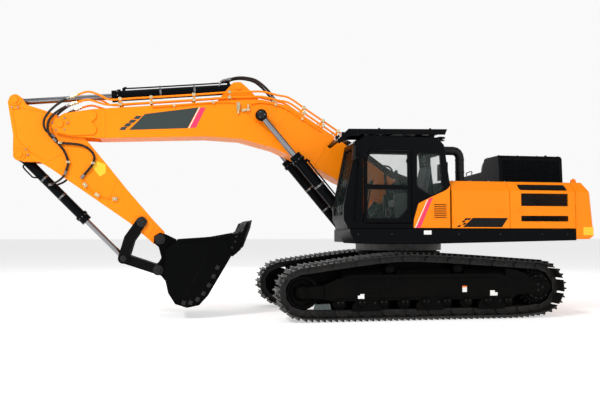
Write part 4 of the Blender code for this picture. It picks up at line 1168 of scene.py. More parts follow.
def build_cab_outside():
    """Window seals, lamps, wiper, grab rails, mirror glass and the struts of the roof guard."""
    left, right = CAB_LEFT, CAB_RIGHT
    seals = []
    rear_side = [(-0.13, 2.88), (-0.13, 2.30), (0.10, 2.16), (0.34, 2.16), (0.30, 2.88)]
    front_side = [(-1.05, 1.78), (-1.05, 2.96), (0.22, 2.96), (0.32, 1.98), (0.10, 1.78)]
    seals.append(tube([(left - 0.006, y, z) for y, z in rounded_loop(rear_side, 0.05)], 0.010, 8,
                      closed=True))
    seals.append(tube([(right + 0.006, y, z) for y, z in rounded_loop(front_side, 0.05)], 0.010, 8,
                      closed=True))
    screen = rounded_loop([(right + 0.09, 1.80), (left - 0.09, 1.80), (left - 0.09, 2.975),
                           (right + 0.09, 2.975)], 0.06)
    seals.append(tube([(x, cab_front(z) + 0.012, z) for x, z in screen], 0.010, 8, closed=True))
    back = rounded_loop([(right + 0.09, 2.16), (left - 0.09, 2.16), (left - 0.09, 2.895),
                         (right + 0.09, 2.895)], 0.06)
    seals.append(tube([(x, cab_rear(z) - 0.006, z) for x, z in back], 0.010, 8, closed=True))
    piece("window_seals", "house", "gasket", seals)
    split = [box((right + 0.095, cab_front(2.28) + 0.004, 2.27),
                 (left - 0.095, cab_front(2.28) + 0.030, 2.292))]
    piece("windscreen_split", "house", "black", split, 0.003)
    arm = [(0.98, cab_front(1.86) - 0.016, 1.84), (1.02, cab_front(2.1) - 0.020, 2.10),
           (1.06, cab_front(2.45) - 0.018, 2.45)]
    blade = [(1.055, cab_front(2.14) - 0.008, 2.14), (1.065, cab_front(2.75) - 0.008, 2.75)]
    wiper = [tube(curve(arm, 6), 0.007, 8), tube(blade, 0.006, 8),
             turned([(0, 0.022), (0.02, 0.022), (0.024, 0.014)], (0.98, cab_front(1.84) + 0.002, 1.84),
                    (0, -1, 0), 18)]
    piece("wiper", "house", "plastic", wiper)
    rails = [tube(curve([(1.478, -1.225, 1.74), (1.525, -1.235, 1.76), (1.525, -1.17, 2.66),
                         (1.478, -1.15, 2.68)], 6), 0.012, 12)]
    piece("door_grab", "house", "black", rails)
    eyes = []
    for x in (0.74, 1.30):
        for y in (-0.762, 0.181):
            top = 3.298 + (y + 0.762) * 0.0225
            plate = arc((y, top + 0.016), 0.022, 0, 180, 8) + [(y - 0.03, top - 0.006),
                                                               (y + 0.03, top - 0.006)]
            eyes.append(prism(plate, "X", x - 0.008, x + 0.008))
    piece("guard_eyes", "house", "black", eyes, 0.002)
    struts = []
    for x in (0.72, 0.94, 1.16, 1.36):
        for y0, y1 in ((-0.84, -0.44), (-0.28, 0.06)):
            brace = [(y0, 3.172), (y0 + 0.035, 3.172), (y1, 3.245), (y1, 3.262), (y1 - 0.04, 3.262)]
            struts.append(prism(brace, "X", x - 0.006, x + 0.006))
    fascia = [(-1.550, 3.070), (-1.336, 3.292), (0.465, 3.332), (0.425, 3.232), (-1.18, 3.196),
              (-1.34, 3.150), (-1.500, 3.030)]
    for near, far in ((0.655, 0.671), (1.379, 1.395)):
        struts.append(prism(fascia, "X", near, far))
    piece("guard_struts", "house", "black", struts, 0.002)
    lamp_places = ((0.80, -1.44, 3.20), (1.25, -1.44, 3.20))
    shells, lenses = [], []
    for x, y, z in lamp_places:
        shells.append(box((x - 0.065, y, z - 0.045), (x + 0.065, y + 0.07, z + 0.045)))
        lenses.append(box((x - 0.055, y - 0.006, z - 0.036), (x + 0.055, y, z + 0.036)))
    piece("cab_lamp_shells", "house", "plastic", shells, 0.010)
    piece("cab_lamp_lenses", "house", "lamp", lenses, 0.003)
    puck = turned([(0, 0.035), (0.02, 0.035), (0.024, 0.075), (0.048, 0.075), (0.056, 0.062)],
                  (1.0, 0.505, 3.19), (0, 0, 1), 28)
    bracket = box((0.96, 0.37, 3.172), (1.04, 0.56, 3.190))
    piece("roof_antenna", "house", "plastic", [puck, bracket], 0.002)
    glass = [box((1.485, -1.2605, 2.75), (1.575, -1.2585, 2.98)),
             box((-1.505, -0.8605, 2.775), (-1.355, -0.858, 3.045))]
    piece("mirror_glasses", "house", "mirror", glass, 0.002)
    striker = [box((left, 0.322, 2.285), (left + 0.016, 0.352, 2.312))]
    piece("door_striker", "house", "plastic", striker, 0.003)


def seat_cushions():
    """The seat's padded parts, each a closed shape of its own."""
    floor = DECK_Z + 0.07
    back = [(0.02, floor + 0.46), (0.12, floor + 0.46), (0.235, floor + 1.04), (0.155, floor + 1.06)]
    return {
        "seat_base": ([box((0.77, -0.45, floor + 0.33), (1.27, 0.06, floor + 0.45))], 0.035),
        "seat_back": ([prism(back, "X", 0.79, 1.25)], 0.030),
        "seat_headrest": ([box((0.90, 0.170, floor + 1.10), (1.14, 0.255, floor + 1.28))], 0.025),
    }


def build_cab_inside():
    """The suspended seat on its rails, joysticks, pedals, the monitor and the floor mat."""
    floor = DECK_Z + 0.07
    for name, (shapes, round_edge) in seat_cushions().items():
        replaces = ("operator_seat",) if name == "seat_base" else ()
        cushion = piece(name, "house", "seat", shapes, round_edge, replaces)
        cushion.modifiers["round_edges"].segments = 4
    base = [box((0.84, -0.36, floor), (1.20, 0.0, floor + 0.06)),
            box((0.88, -0.34, floor + 0.24), (1.16, -0.02, floor + 0.325))]
    for row in range(7):
        z = floor + 0.065 + row * 0.025
        base.append(box((0.87 + 0.006 * (row % 2), -0.33 + 0.006 * (row % 2), z),
                        (1.17 - 0.006 * (row % 2), -0.03, z + 0.022)))
    base += [rod((x, 0.19, floor + 1.02), (x, 0.205, floor + 1.14), 0.008, 10) for x in (0.97, 1.07)]
    base.append(box((0.80, 0.10, floor + 0.50), (1.24, 0.135, floor + 0.52)))
    piece("seat_stand", "house", "plastic", base, 0.006)
    belts = [box((x, -0.30, floor + 0.452), (x + 0.045, 0.02, floor + 0.456)) for x in (0.80, 1.195)]
    piece("seat_belt", "house", "gasket", belts)
    sticks, boots = [], []
    for x in (0.697, 1.342):
        grip = [(0, 0.020), (0.02, 0.026), (0.08, 0.024), (0.13, 0.029), (0.155, 0.024), (0.16, 0.012)]
        sticks.append(turned(grip, (x, -0.46, floor + 0.80), (0, -0.05, 1), 18))
        rings = [(n * 0.014, 0.052 - 0.0045 * n if n % 2 else 0.045 - 0.0045 * n) for n in range(8)]
        boots.append(turned(rings, (x, -0.42, floor + 0.56), (0, -0.13, 1), 20))
    piece("joystick_grips", "house", "plastic", sticks, 0.002)
    piece("joystick_boots", "house", "gasket", boots)
    screen = box((0.655, -1.02, floor + 0.88), (0.70, -0.82, floor + 1.06))
    stalk = tube(curve([(0.66, -0.92, floor + 0.60), (0.668, -0.92, floor + 0.75),
                        (0.676, -0.92, floor + 0.89)], 4), 0.012, 10)
    piece("monitor", "house", "plastic", [screen, stalk], 0.006)
    piece("monitor_glass", "house", "screen", [box((0.7001, -1.005, floor + 0.895),
                                                   (0.7025, -0.835, floor + 1.045))])
    pedals = []
    for x in (0.90, 1.04):
        pedals.append(prism([(-1.06, floor + 0.062), (-0.94, floor + 0.062), (-0.96, floor + 0.085),
                             (-1.06, floor + 0.120)], "X", x, x + 0.095))
    piece("pedals", "house", "gasket", pedals, 0.004)
    mat = [box((0.66, -1.26, floor + 0.0005), (1.40, -0.42, floor + 0.010))]
    for row in range(16):
        mat.append(box((0.70 + row * 0.042, -1.22, floor + 0.010),
                       (0.712 + row * 0.042, -0.46, floor + 0.013)))
    piece("floor_mat", "house", "gasket", mat)
    panel = [box((0.655, -0.30, floor + 0.57), (0.74, 0.05, floor + 0.585))]
    knobs = [turned([(0, 0.014), (0.014, 0.013)], (0.70, -0.26 + n * 0.06, floor + 0.585), (0, 0, 1),
                    14) for n in range(5)]
    piece("console_switches", "house", "trim", panel + knobs, 0.002)
    levers = [turned([(0, 0.014), (0.02, 0.022), (0.09, 0.020), (0.10, 0.010)], (x, -0.845, floor + 0.70),
                     (0, 0.19, 0.98), 16) for x in (0.95, 1.09)]
    piece("travel_grips", "house", "gasket", levers, 0.001)


def build_house():
    """The trim of everything that turns with the upper structure."""
    build_left_doors()
    build_right_side()
    build_counterweight_trim()
    build_deck()
    build_hood()
    build_exhaust()
    build_band()
    build_cab_panel()
    build_cab_door()
    build_cab_outside()
    build_cab_inside()


# Working equipment

def on_path(points, side, x, radius, sides=12, steps=6):
    """A tube along a given side view, at one distance from the middle plane."""
    line = curve([at_x(side * x, point) for point in points], steps)
    return tube(line, radius, sides)


def pin_cap(centre, radius, side, near, thickness=0.022):
    """The turned end of a pin, standing out of a boss."""
    profile = [(0, radius), (thickness * 0.7, radius), (thickness, radius * 0.86)]
    return turned(profile, at_x(side * near, centre), (side, 0, 0), 28)


def keeper(centre, angle, side, near, reach):
    """A pin's locking bar with its two bolts. Returns the bar and the bolts."""
    turn = math.radians(angle)
    across = Vector((-math.sin(turn), math.cos(turn)))
    middle = Vector(centre) + Vector((math.cos(turn), math.sin(turn))) * reach
    along = across * 0.070
    inward = Vector((math.cos(turn), math.sin(turn))) * 0.028
    corners = [middle + along - inward, middle + along + inward, middle - along + inward,
               middle - along - inward]
    bar = side_prism(corners, side, near, near + 0.016)
    bolts = []
    for shift in (0.048, -0.048):
        place = middle + across * shift
        bolts += bolt(at_x(side * (near + 0.016), place), (side, 0, 0), 0.013)
    return [bar], bolts


def weld(points, side, x, radius=0.007):
    """A bead of weld along a line on a face square to X."""
    line = curve([at_x(side * x, point) for point in points], 10)
    swell = lambda number: radius * (1.0 if number % 2 else 0.86)
    return tube(line, radius, 8, swell=swell)


NOSE_THICK = 0.026
LOWER_PIPE = (0.285, 0.055)     # from the middle plane, above the boom
UPPER_PIPE = (0.285, 0.150)
BOOM_TOP = ((-5.70, 3.69), (-4.20, 3.83), (-3.28, 3.93), (-2.70, 3.96), (-2.19, 3.86), (-1.26, 3.26),
            (-0.20, 2.52))


def boom_top(y):
    """The height of the boom's upper face."""
    for (y0, z0), (y1, z1) in zip(BOOM_TOP, BOOM_TOP[1:]):
        if y <= y1:
            break
    return z0 + (z1 - z0) * (y - y0) / (y1 - y0)


def over_boom(ys, lift):
    """Points this far above the boom's upper face."""
    return [(y, boom_top(y) + lift) for y in ys]


def build_boom_faces():
    """The stripe, the chequered marks, the welds and the doubling plates on both sides of the boom."""
    grey, red, white, squares, plates, beads, bosses = [], [], [], [], [], [], []
    x = BOOM_HALF
    for side in (1, -1):
        grey.append(side_prism([(-5.090, 3.330), (-4.059, 3.390), (-3.862, 3.778), (-4.818, 3.625),
                                (-4.93, 3.50)], side, x, x + 0.0015))
        red.append(side_prism([(-4.015, 3.398), (-3.907, 3.407), (-3.735, 3.775), (-3.829, 3.775)], side, x,
                              x + 0.0015))
        white.append(side_prism([(-4.042, 3.393), (-4.026, 3.394), (-3.840, 3.778), (-3.855, 3.777)], side,
                                x, x + 0.0015))
        for y, z in ((-5.264, 3.324), (-5.187, 3.391), (-5.109, 3.458), (-5.020, 3.530)):
            squares.append(side_prism(slanted(y, z, 0.100, 0.060, 0.052), side, x, x + 0.0015))
        plates.append(side_prism(nose_plate(), side, x, x + NOSE_THICK))
        plates.append(side_prism([(-5.575, 3.185), (-5.50, 3.185), (-5.51, 3.695), (-5.585, 3.688)], side, x,
                                 x + 0.006))
        beads.append(weld([(-2.55, 3.10), (-2.36, 3.52), (-2.18, 3.85)], side, x))
        beads.append(weld([(-1.72, 2.74), (-1.52, 3.10), (-1.34, 3.30)], side, x))
        beads.append(weld([(-0.62, 2.24), (-0.45, 2.50), (-0.34, 2.60)], side, x))
        foot = [tuple(BOOM_FOOT + Vector(point)) for point in ring_of((0, 0), 0.165, 28)]
        bosses.append(side_prism(foot, side, x - 0.005, x + 0.004))
        eye = [tuple(BOOM_CYLINDER_EYE + Vector(point)) for point in ring_of((0, 0), 0.118, 40)]
        beads.append(tube([at_x(side * (x + 0.002), point) for point in eye], 0.008, 8, closed=True))
    piece("boom_stripe", "boom", "decal_grey", grey)
    piece("boom_stripe_red", "boom", "decal_red", red)
    piece("boom_stripe_line", "boom", "decal_white", white)
    piece("boom_stripe_squares", "boom", "decal_grey", squares)
    piece("boom_nose_plates", "boom", "orange_arm", plates, 0.005)
    piece("boom_bosses", "boom", "orange_arm", bosses, 0.002)
    piece("boom_welds", "boom", "orange_arm", beads)


def nose_plate():
    """The doubling plate round the boom's nose, with two round lobes at its rear."""
    front = [(-6.40, 3.36), (-6.345, 3.49), (-6.19, 3.585), (-5.95, 3.63)]
    upper = [(-5.76, 3.655)] + list(reversed(arc((-5.74, 3.565), 0.088, -60, 90, 8)))
    notch = [(-5.735, 3.455)]
    lower = list(reversed(arc((-5.74, 3.320), 0.095, -90, 62, 8)))
    return front + upper + notch + lower + [(-6.08, 3.205), (-6.32, 3.255)]


def build_boom_pins():
    """The pins of the boom's two ends and of its cylinders, with their locks."""
    caps, bars, bolts, dark = [], [], [], []
    for side in (1, -1):
        caps.append(pin_cap(ARM_PIN, 0.062, side, BOOM_HALF + NOSE_THICK))
        found = keeper(ARM_PIN, 30, side, BOOM_HALF + NOSE_THICK, 0.125)
        bars += found[0]
        bolts += found[1]
        for number in range(4):
            turn = math.radians(70 * number + 100)
            place = ARM_PIN + Vector((math.cos(turn), math.sin(turn))) * 0.125
            bolts += bolt(at_x(side * (BOOM_HALF + NOSE_THICK), place), (side, 0, 0), 0.012)
        dark.append(pin_cap(BOOM_CYLINDER_EYE, 0.078, side, BOOM_CYLINDER_X + 0.052, 0.024))
        dark.append(pin_cap(BOOM_CYLINDER_EYE, 0.050, side, BOOM_CYLINDER_X + 0.074, 0.012))
        bolts += bolt_ring(BOOM_CYLINDER_EYE, 0.054, 3, BOOM_CYLINDER_X + 0.076, side, 0.010)
    piece("boom_pin_caps", "boom", "orange_arm", caps, 0.002)
    piece("boom_keepers", "boom", "orange_arm", bars, 0.003)
    piece("boom_pin_bolts", "boom", "bolt", bolts)
    piece("boom_eye_pins", "boom", "pin", dark, 0.002)
    ring = []
    bolts = []
    for side in (1, -1):
        ring.append(pin_cap(BOOM_FOOT, 0.085, side, 0.350, 0.02))
        found = keeper(BOOM_FOOT, 200, side, 0.350, 0.145)
        ring += found[0]
        bolts += found[1]
        ring.append(pin_cap(BOOM_CYLINDER_FOOT, 0.070, side, BOOM_CYLINDER_X + 0.052, 0.02))
    piece("house_pin_caps", "house", "pin", ring, 0.002)
    piece("house_pin_bolts", "house", "bolt", bolts)
    eyes = []
    for side in (1, -1):
        eyes.append(pin_cap(ARM_CYLINDER_FOOT, 0.058, side, 0.160, 0.02))
    piece("arm_cylinder_foot_pin", "boom", "orange_arm", eyes, 0.002)


def build_boom_pipes():
    """Steel lines along the top of the boom, with their clamps, couplings and valve."""
    pipes, blocks, bolts, rings, posts = [], [], [], [], []
    ys = (-5.42, -5.0, -4.5, -4.0, -3.5, -3.28, -3.0, -2.70, -2.40, -2.19, -1.9, -1.568, -1.203)
    fronts = {LOWER_PIPE: [(-5.985, 3.800), (-5.80, 3.850), (-5.60, 3.800)],
              UPPER_PIPE: [(-5.985, 3.930), (-5.80, 3.995), (-5.60, 3.940)]}
    for side in (1, -1):
        for (x, lift), front in fronts.items():
            run = front + over_boom(ys, lift)
            pipes.append(on_path(run, side, x, 0.019, 14, 4))
            end = Vector(run[-1])
            heading = (Vector(run[-1]) - Vector(run[-2])).normalized()
            rings.append(rod(at_x(side * x, end), at_x(side * x, end + heading * 0.06), 0.028, 6))
            start = Vector(run[0])
            slope = Vector((-0.93, -0.36))
            for shift, size in ((0.0, 0.030), (0.055, 0.036), (0.10, 0.030)):
                rings.append(rod(at_x(side * x, start + slope * shift),
                                 at_x(side * x, start + slope * (shift + 0.040)), size, 6))
        for y in (-5.25, -4.71, -3.95, -3.303, -1.912, -1.549, -1.26):
            slope = math.atan2(boom_top(y + 0.02) - boom_top(y - 0.02), 0.04)
            turn = Matrix.Rotation(slope, 4, "X")
            for x, lift in (LOWER_PIPE, UPPER_PIPE):
                move = Matrix.Translation((side * x, y, boom_top(y) + lift)) @ turn
                blocks.append(place_shape(box((-0.028, -0.028, -0.028), (0.028, 0.028, 0.028)), move))
                posts.append(place_shape(box((-0.012, -0.020, -lift), (0.012, 0.020, -0.028)), move))
                heads = bolt((0, 0, 0.028), (0, 0, 1), 0.010)
                bolts += [place_shape(head, move) for head in heads]
    piece("boom_pipes", "boom", "orange_arm", pipes)
    piece("boom_clamps", "boom", "zinc", blocks, 0.004)
    piece("boom_clamp_posts", "boom", "orange_arm", posts, 0.002)
    piece("boom_clamp_bolts", "boom", "bolt", bolts)
    piece("boom_couplings", "boom", "zinc", rings, 0.002)
    side_line = [(-4.70, 3.752), (-4.30, 3.795), (-3.85, 3.850), (-3.45, 3.885), (-3.20, 3.885),
                 (-3.147, 3.830)]
    lines = [tube(curve([at_x(0.312, point) for point in side_line], 5), 0.014, 12)]
    lines.append(tube(curve([at_x(0.312, point) for point in ((-2.907, 3.869), (-2.75, 3.90), (-2.5, 3.88),
                                                              (-2.25, 3.80), (-1.95, 3.62), (-1.60, 3.40))],
                            5), 0.014, 12))
    valve = [side_prism([(-3.175, 3.75), (-3.110, 3.75), (-3.110, 3.89), (-3.175, 3.89)], 1, BOOM_HALF,
                        BOOM_HALF + 0.045), side_prism([(-3.08, 3.715), (-2.93, 3.740), (-2.93, 3.785),
                                                        (-3.08, 3.765)], 1, BOOM_HALF, BOOM_HALF + 0.050)]
    valve.append(rod((0.317, -3.145, 3.68), (0.317, -3.145, 3.75), 0.022, 6))
    valve.append(rod((0.317, -2.96, 3.785), (0.317, -2.96, 3.860), 0.018, 6))
    valve.append(rod((0.340, -3.02, 3.745), (0.372, -3.02, 3.745), 0.022, 6))
    piece("boom_side_line", "boom", "orange_arm", lines)
    piece("boom_valve", "boom", "zinc", valve, 0.004)
    clips = []
    for y, z in ((-4.30, 3.795), (-3.60, 3.872), (-2.45, 3.868), (-1.95, 3.62)):
        clips.append(box((BOOM_HALF, y - 0.02, z - 0.024), (0.334, y + 0.02, z + 0.024)))
    piece("boom_clips", "boom", "zinc", clips, 0.003)


def build_arm_trim():
    """Labels, pins, bosses, pipes and welds on the arm."""
    x = ARM_HALF
    caps, bolts, bars, beads, patches, yellow = [], [], [], [], [], []
    for side in (1, -1):
        patch = [(-4.984, 1.739), (-4.820, 1.824), (-4.700, 1.730), (-4.62, 1.600), (-4.706, 1.470),
                 (-4.800, 1.480), (-4.980, 1.620)]
        patches.append(side_prism(patch, side, x, x + 0.006))
        boss = [tuple(ARM_CYLINDER_EYE + Vector(p)) for p in ring_of((0, 0), 0.100, 28)]
        patches.append(side_prism(boss, side, x, x + 0.014))
        foot = [tuple(BUCKET_CYLINDER_FOOT + Vector(p)) for p in ring_of((0, 0), 0.105, 28)]
        patches.append(side_prism(foot, side, x, x + 0.014))
        end = [tuple(BUCKET_PIN + Vector(p)) for p in ring_of((0, 0), 0.105, 28)]
        patches.append(side_prism(end, side, x, x + 0.010))
        caps.append(pin_cap(ARM_CYLINDER_EYE, 0.056, side, x + 0.014))
        caps.append(pin_cap(BUCKET_CYLINDER_FOOT, 0.056, side, x + 0.014))
        caps.append(pin_cap((-4.978, 1.795), 0.016, side, x, 0.003))
        for centre, angle in ((ARM_CYLINDER_EYE, 270), (BUCKET_CYLINDER_FOOT, 20)):
            found = keeper(centre, angle, side, x, 0.135)
            bars += found[0]
            bolts += found[1]
        beads.append(weld([(-6.55, 2.765), (-6.79, 2.93), (-6.985, 3.12), (-7.025, 3.34), (-7.065, 3.58),
                           (-7.03, 3.665), (-6.90, 3.665), (-6.54, 3.615)], side, x, 0.009))
        beads.append(weld([(-6.48, 2.745), (-6.32, 2.83), (-6.19, 2.93)], side, x, 0.006))
        beads.append(weld([(-5.28, 2.43), (-5.40, 2.16), (-5.46, 1.98)], side, x, 0.005))
        label = [(-5.655, 2.770), (-5.492, 2.712), (-5.488, 2.562), (-5.590, 2.492), (-5.712, 2.655)]
        yellow.append(side_prism(label, side, x, x + 0.0015))
    piece("arm_patches", "arm", "orange_arm", patches, 0.003)
    piece("arm_pin_caps", "arm", "orange_arm", caps, 0.002)
    piece("arm_keepers", "arm", "orange_arm", bars, 0.003)
    piece("arm_pin_bolts", "arm", "bolt", bolts)
    piece("arm_welds", "arm", "orange_arm", beads)
    piece("arm_labels", "arm", "label_yellow", yellow)
    fittings = []
    for y, z, turn in ((-5.838, 2.339, -50), (-5.631, 2.164, -35), (-5.321, 2.096, 0)):
        move = Matrix.Translation((x, y, z)) @ Matrix.Rotation(math.radians(turn), 4, "X")
        fittings.append(place_shape(box((0.0, -0.042, -0.030), (0.040, 0.042, 0.030)), move))
        fittings.append(place_shape(turned([(0, 0.016), (0.016, 0.016), (0.020, 0.010)], (0.040, 0.0, 0.0),
                                           (1, 0, 0), 6), move))
    line = curve([at_x(x + 0.013, point) for point in ((-5.90, 2.44), (-5.83, 2.37), (-5.76, 2.26),
                                                       (-5.68, 2.18), (-5.5, 2.11), (-5.321, 2.096))], 5)
    piece("arm_grease_points", "arm", "zinc", fittings)
    piece("arm_grease_line", "arm", "orange_arm", [tube(line, 0.009, 10)])


def hoop(centre, axis, radius):
    """One turn of a strap round a barrel."""
    across = axis.orthogonal().normalized()
    other = axis.cross(across)
    turns = [2 * math.pi * i / 36 for i in range(36)]
    points = [centre + radius * (math.cos(turn) * across + math.sin(turn) * other) for turn in turns]
    return tube(points, 0.006, 8, closed=True)


def cylinder_trim(name, body, foot, eye, length, radius, x, ports=None):
    """The bolted head, the wiper ring, the ports and the bands of a cylinder's barrel."""
    heading = (Vector(eye) - Vector(foot)).normalized()
    axis = Vector((0, heading.x, heading.y))
    head = at_x(x, toward(foot, eye, length))
    up = Vector((0, -heading.y, heading.x))
    if up.z < 0:
        up = -up
    flange = [(-0.165, radius + 0.013), (-0.160, radius + 0.026), (-0.115, radius + 0.026),
              (-0.112, radius + 0.014)]
    shapes = [turned(flange, head, axis, 36)]
    bolts = []
    for number in range(10):
        turn = 2 * math.pi * number / 10
        side = Vector((1, 0, 0)) * math.cos(turn) + up * math.sin(turn)
        bolts += bolt(head - axis * 0.112 + side * (radius + 0.018), axis, 0.010, 0.012)
    tubes = []
    out = Vector(ports) if ports else up
    base = at_x(x, toward(foot, eye, 0.16)) + out * radius
    port = at_x(x, toward(foot, eye, length - 0.22)) + out * radius
    shapes += [rod(end - out * 0.01, end + out * 0.045, 0.030, 16) for end in (base, port)]
    line = [base + out * 0.036, base + out * 0.056 + axis * 0.05, base + out * 0.034 + axis * 0.14,
            port + out * 0.034 - axis * 0.14, port + out * 0.056 - axis * 0.05, port + out * 0.036]
    tubes.append(tube(curve(line, 6), 0.014, 12))
    bands = []
    for share in (0.35, 0.62):
        centre = at_x(x, toward(foot, eye, length * share))
        bands += [hoop(centre + axis * shift, axis, radius) for shift in (-0.012, 0.0, 0.012)]
        bands.append(rod(centre + out * radius, centre + out * (radius + 0.050), 0.012, 8))
    piece(f"{name}_head", body, "black", shapes, 0.002)
    piece(f"{name}_line", body, "black", tubes)
    piece(f"{name}_bands", body, "bolt", bands, 0.001)
    piece(f"{name}_bolts", body, "bolt", bolts)


def build_cylinder_trims():
    """What is bolted and strapped to the four cylinders, and the bucket cylinder's line by its foot."""
    for side, word in ((1, "left"), (-1, "right")):
        cylinder_trim(f"boom_cylinder_{word}", "boom_cylinders", BOOM_CYLINDER_FOOT, BOOM_CYLINDER_EYE, 1.90,
                      0.0975, side * BOOM_CYLINDER_X)
    cylinder_trim("arm_cylinder", "arm_cylinder", ARM_CYLINDER_FOOT, ARM_CYLINDER_EYE, 2.296, 0.0975, 0.0)
    cylinder_trim("bucket_cylinder", "bucket_cylinder", BUCKET_CYLINDER_FOOT, LINK_PIN, 1.61, 0.085, 0.0,
                  (-1, 0, 0))
    short_line = [(0.065, -6.83, 2.71), (0.09, -6.89, 2.69), (0.10, -6.90, 2.64), (0.10, -6.79, 2.52),
                  (0.10, -6.74, 2.475), (0.09, -6.67, 2.47), (0.065, -6.59, 2.50)]
    piece("bucket_cylinder_foot_line", "bucket_cylinder", "black", [tube(curve(short_line, 6), 0.014, 12)])


def build_rod_eyes():
    """The black eyes welded to the ends of the chromed rods."""
    rods = [("boom_rods", BOOM_CYLINDER_EYE, BOOM_CYLINDER_FOOT, side * BOOM_CYLINDER_X, 0.051,
             0.055) for side in (1, -1)]
    rods.append(("arm_rod", ARM_CYLINDER_EYE, ARM_CYLINDER_FOOT, 0.0, 0.086, 0.055))
    rods.append(("bucket_rod", LINK_PIN, BUCKET_CYLINDER_FOOT, 0.0, 0.086, 0.05))
    for number, (body, eye, foot, x, half, radius) in enumerate(rods):
        axis = (Vector(foot) - Vector(eye)).normalized()
        shapes = [disc("X", eye, radius + 0.048, x - half, x + half, 32),
                  turned([(0.06, radius + 0.020), (0.094, radius + 0.010), (0.104, radius + 0.002)],
                         at_x(x, eye), (0, axis.x, axis.y), 24)]
        piece(f"rod_eye_{number}", body, "black", shapes, 0.002)


def build_linkage_trim():
    """The pins of the rocker arms and of the bucket link."""
    caps, bolts = [], []
    for side in (1, -1):
        caps.append(pin_cap(LINK_PIN, 0.055, side, 0.280, 0.018))
        caps.append(pin_cap(ROCKER_PIN, 0.055, side, 0.280, 0.018))
        boss = [tuple(ROCKER_PIN + Vector(p)) for p in ring_of((0, 0), 0.088, 28)]
        caps.append(side_prism(boss, side, 0.2795, 0.286))
        bolts += bolt(at_x(side * 0.286, ROCKER_PIN + Vector((0.070, 0.0))), (side, 0, 0), 0.010)
    piece("rocker_pins", "rocker", "pin", caps, 0.002)
    piece("rocker_bolts", "rocker", "dark_bolt", bolts)
    pins = []
    bolts = []
    for side in (1, -1):
        for centre in (BUCKET_PIN, BUCKET_LINK_PIN):
            boss = [tuple(centre + Vector(p)) for p in ring_of((0, 0), 0.092, 28)]
            pins.append(side_prism(boss, side, 0.3395, 0.350))
            pins.append(pin_cap(centre, 0.055, side, 0.350, 0.018))
            bolts += bolt(at_x(side * 0.350, centre + Vector((0.0, -0.072))), (side, 0, 0), 0.010)
    piece("bucket_pins", "bucket", "pin", pins, 0.002)
    piece("bucket_pin_bolts", "bucket", "dark_bolt", bolts)


BUCKET_BACK = ((-4.42, 1.20), (-4.44, 0.74), (-4.378, 0.46), (-4.258, 0.27), (-4.053, 0.20), (-3.85, 0.24),
               (-3.70, 0.40), (-3.386, 0.933), (-3.195, 1.264))


def build_bucket():
    """Side cutters, tooth adapters, wear blocks, heel strips and welds."""
    half = BUCKET_HALF
    cutters, blocks, beads, lips, bolts = [], [], [], [], []
    cutter = [(-3.345, 1.155), (-3.20, 1.13), (-3.06, 1.43), (-3.00, 1.60), (-2.985, 1.69), (-3.03, 1.68),
              (-3.108, 1.509), (-3.266, 1.474), (-3.60, 1.42), (-3.60, 1.38), (-3.32, 1.40)]
    for side in (1, -1):
        cutters.append(side_prism(cutter, side, half, half + 0.028))
        for y, z in ((-3.285, 1.235), (-3.23, 1.34), (-3.21, 1.43)):
            bolts += bolt((side * (half + 0.028), y, z), (side, 0, 0), 0.017)
        for y, z in ((-3.535, 0.885), (-3.603, 0.735), (-3.68, 0.580), (-3.774, 0.440), (-3.876, 0.340),
                     (-3.996, 0.285), (-4.110, 0.285)):
            tile = [(y - 0.045, z - 0.018), (y + 0.020, z - 0.040), (y + 0.045, z + 0.030),
                    (y - 0.018, z + 0.050)]
            blocks.append(side_prism(tile, side, half, half + 0.020))
        beads.append(weld([(-4.15, 0.318), (-3.93, 0.69), (-3.716, 1.066)], side, half))
        beads.append(weld([(-4.13, 1.33), (-3.93, 1.365), (-3.62, 1.415)], side, half, 0.008))
        rim = [(-4.165, 1.372), (-4.131, 1.320), (-3.736, 1.372), (-3.62, 1.39), (-3.60, 1.42)]
        lips.append(side_prism(rim, side, half, half + 0.012))
    for a, b in zip(BUCKET_BACK[3:], BUCKET_BACK[4:]):
        a, b = Vector(a), Vector(b)
        out = Vector(((b - a).y, -(b - a).x)).normalized()
        for x in (-0.60, -0.30, 0.0, 0.30, 0.60):
            strip = [a, b, b + out * 0.012, a + out * 0.012]
            lips.append(prism([tuple(p) for p in strip], "X", x - 0.04, x + 0.04))
    adapters, tips = [], []
    for number in range(5):
        x = (number - 2) * (half - 0.07) / 2
        shank = [(-3.36, 1.12), (-3.27, 1.08), (-3.13, 1.20), (-3.05, 1.38), (-3.08, 1.44), (-3.15, 1.47),
                 (-3.24, 1.34), (-3.24, 1.26)]
        adapters.append(prism(shank, "X", x - 0.068, x + 0.068))
        tip = [(-3.135, 1.215), (-3.085, 1.245), (-2.960, 1.58), (-2.932, 1.712), (-2.950, 1.720),
               (-2.985, 1.695), (-3.115, 1.505), (-3.165, 1.46)]
        tips.append(prism(tip, "X", x - 0.061, x + 0.061))
        for side in (1, -1):
            tips.append(turned([(0, 0.020), (0.008, 0.018)], (x + side * 0.061, -3.10, 1.36), (side, 0, 0),
                               14))
    for number in range(4):
        x = (number - 1.5) * (half - 0.07) / 2
        shroud = [(-3.30, 1.17), (-3.21, 1.13), (-3.09, 1.36), (-3.07, 1.50), (-3.13, 1.525), (-3.20, 1.46)]
        adapters.append(prism(shroud, "X", x - 0.055, x + 0.055))
    piece("bucket_cutters", "bucket", "bucket", cutters, 0.004)
    piece("bucket_cutter_bolts", "bucket", "dark_bolt", bolts)
    piece("bucket_wear_blocks", "bucket", "tooth", blocks, 0.005)
    piece("bucket_welds", "bucket", "link", beads)
    piece("bucket_strips", "bucket", "bucket", lips, 0.003)
    piece("tooth_adapters", "bucket", "bucket", adapters, 0.008)
    piece("tooth_tips", "bucket", "tooth", tips, 0.008)


# Hoses

HOSE_RADIUS = 0.021


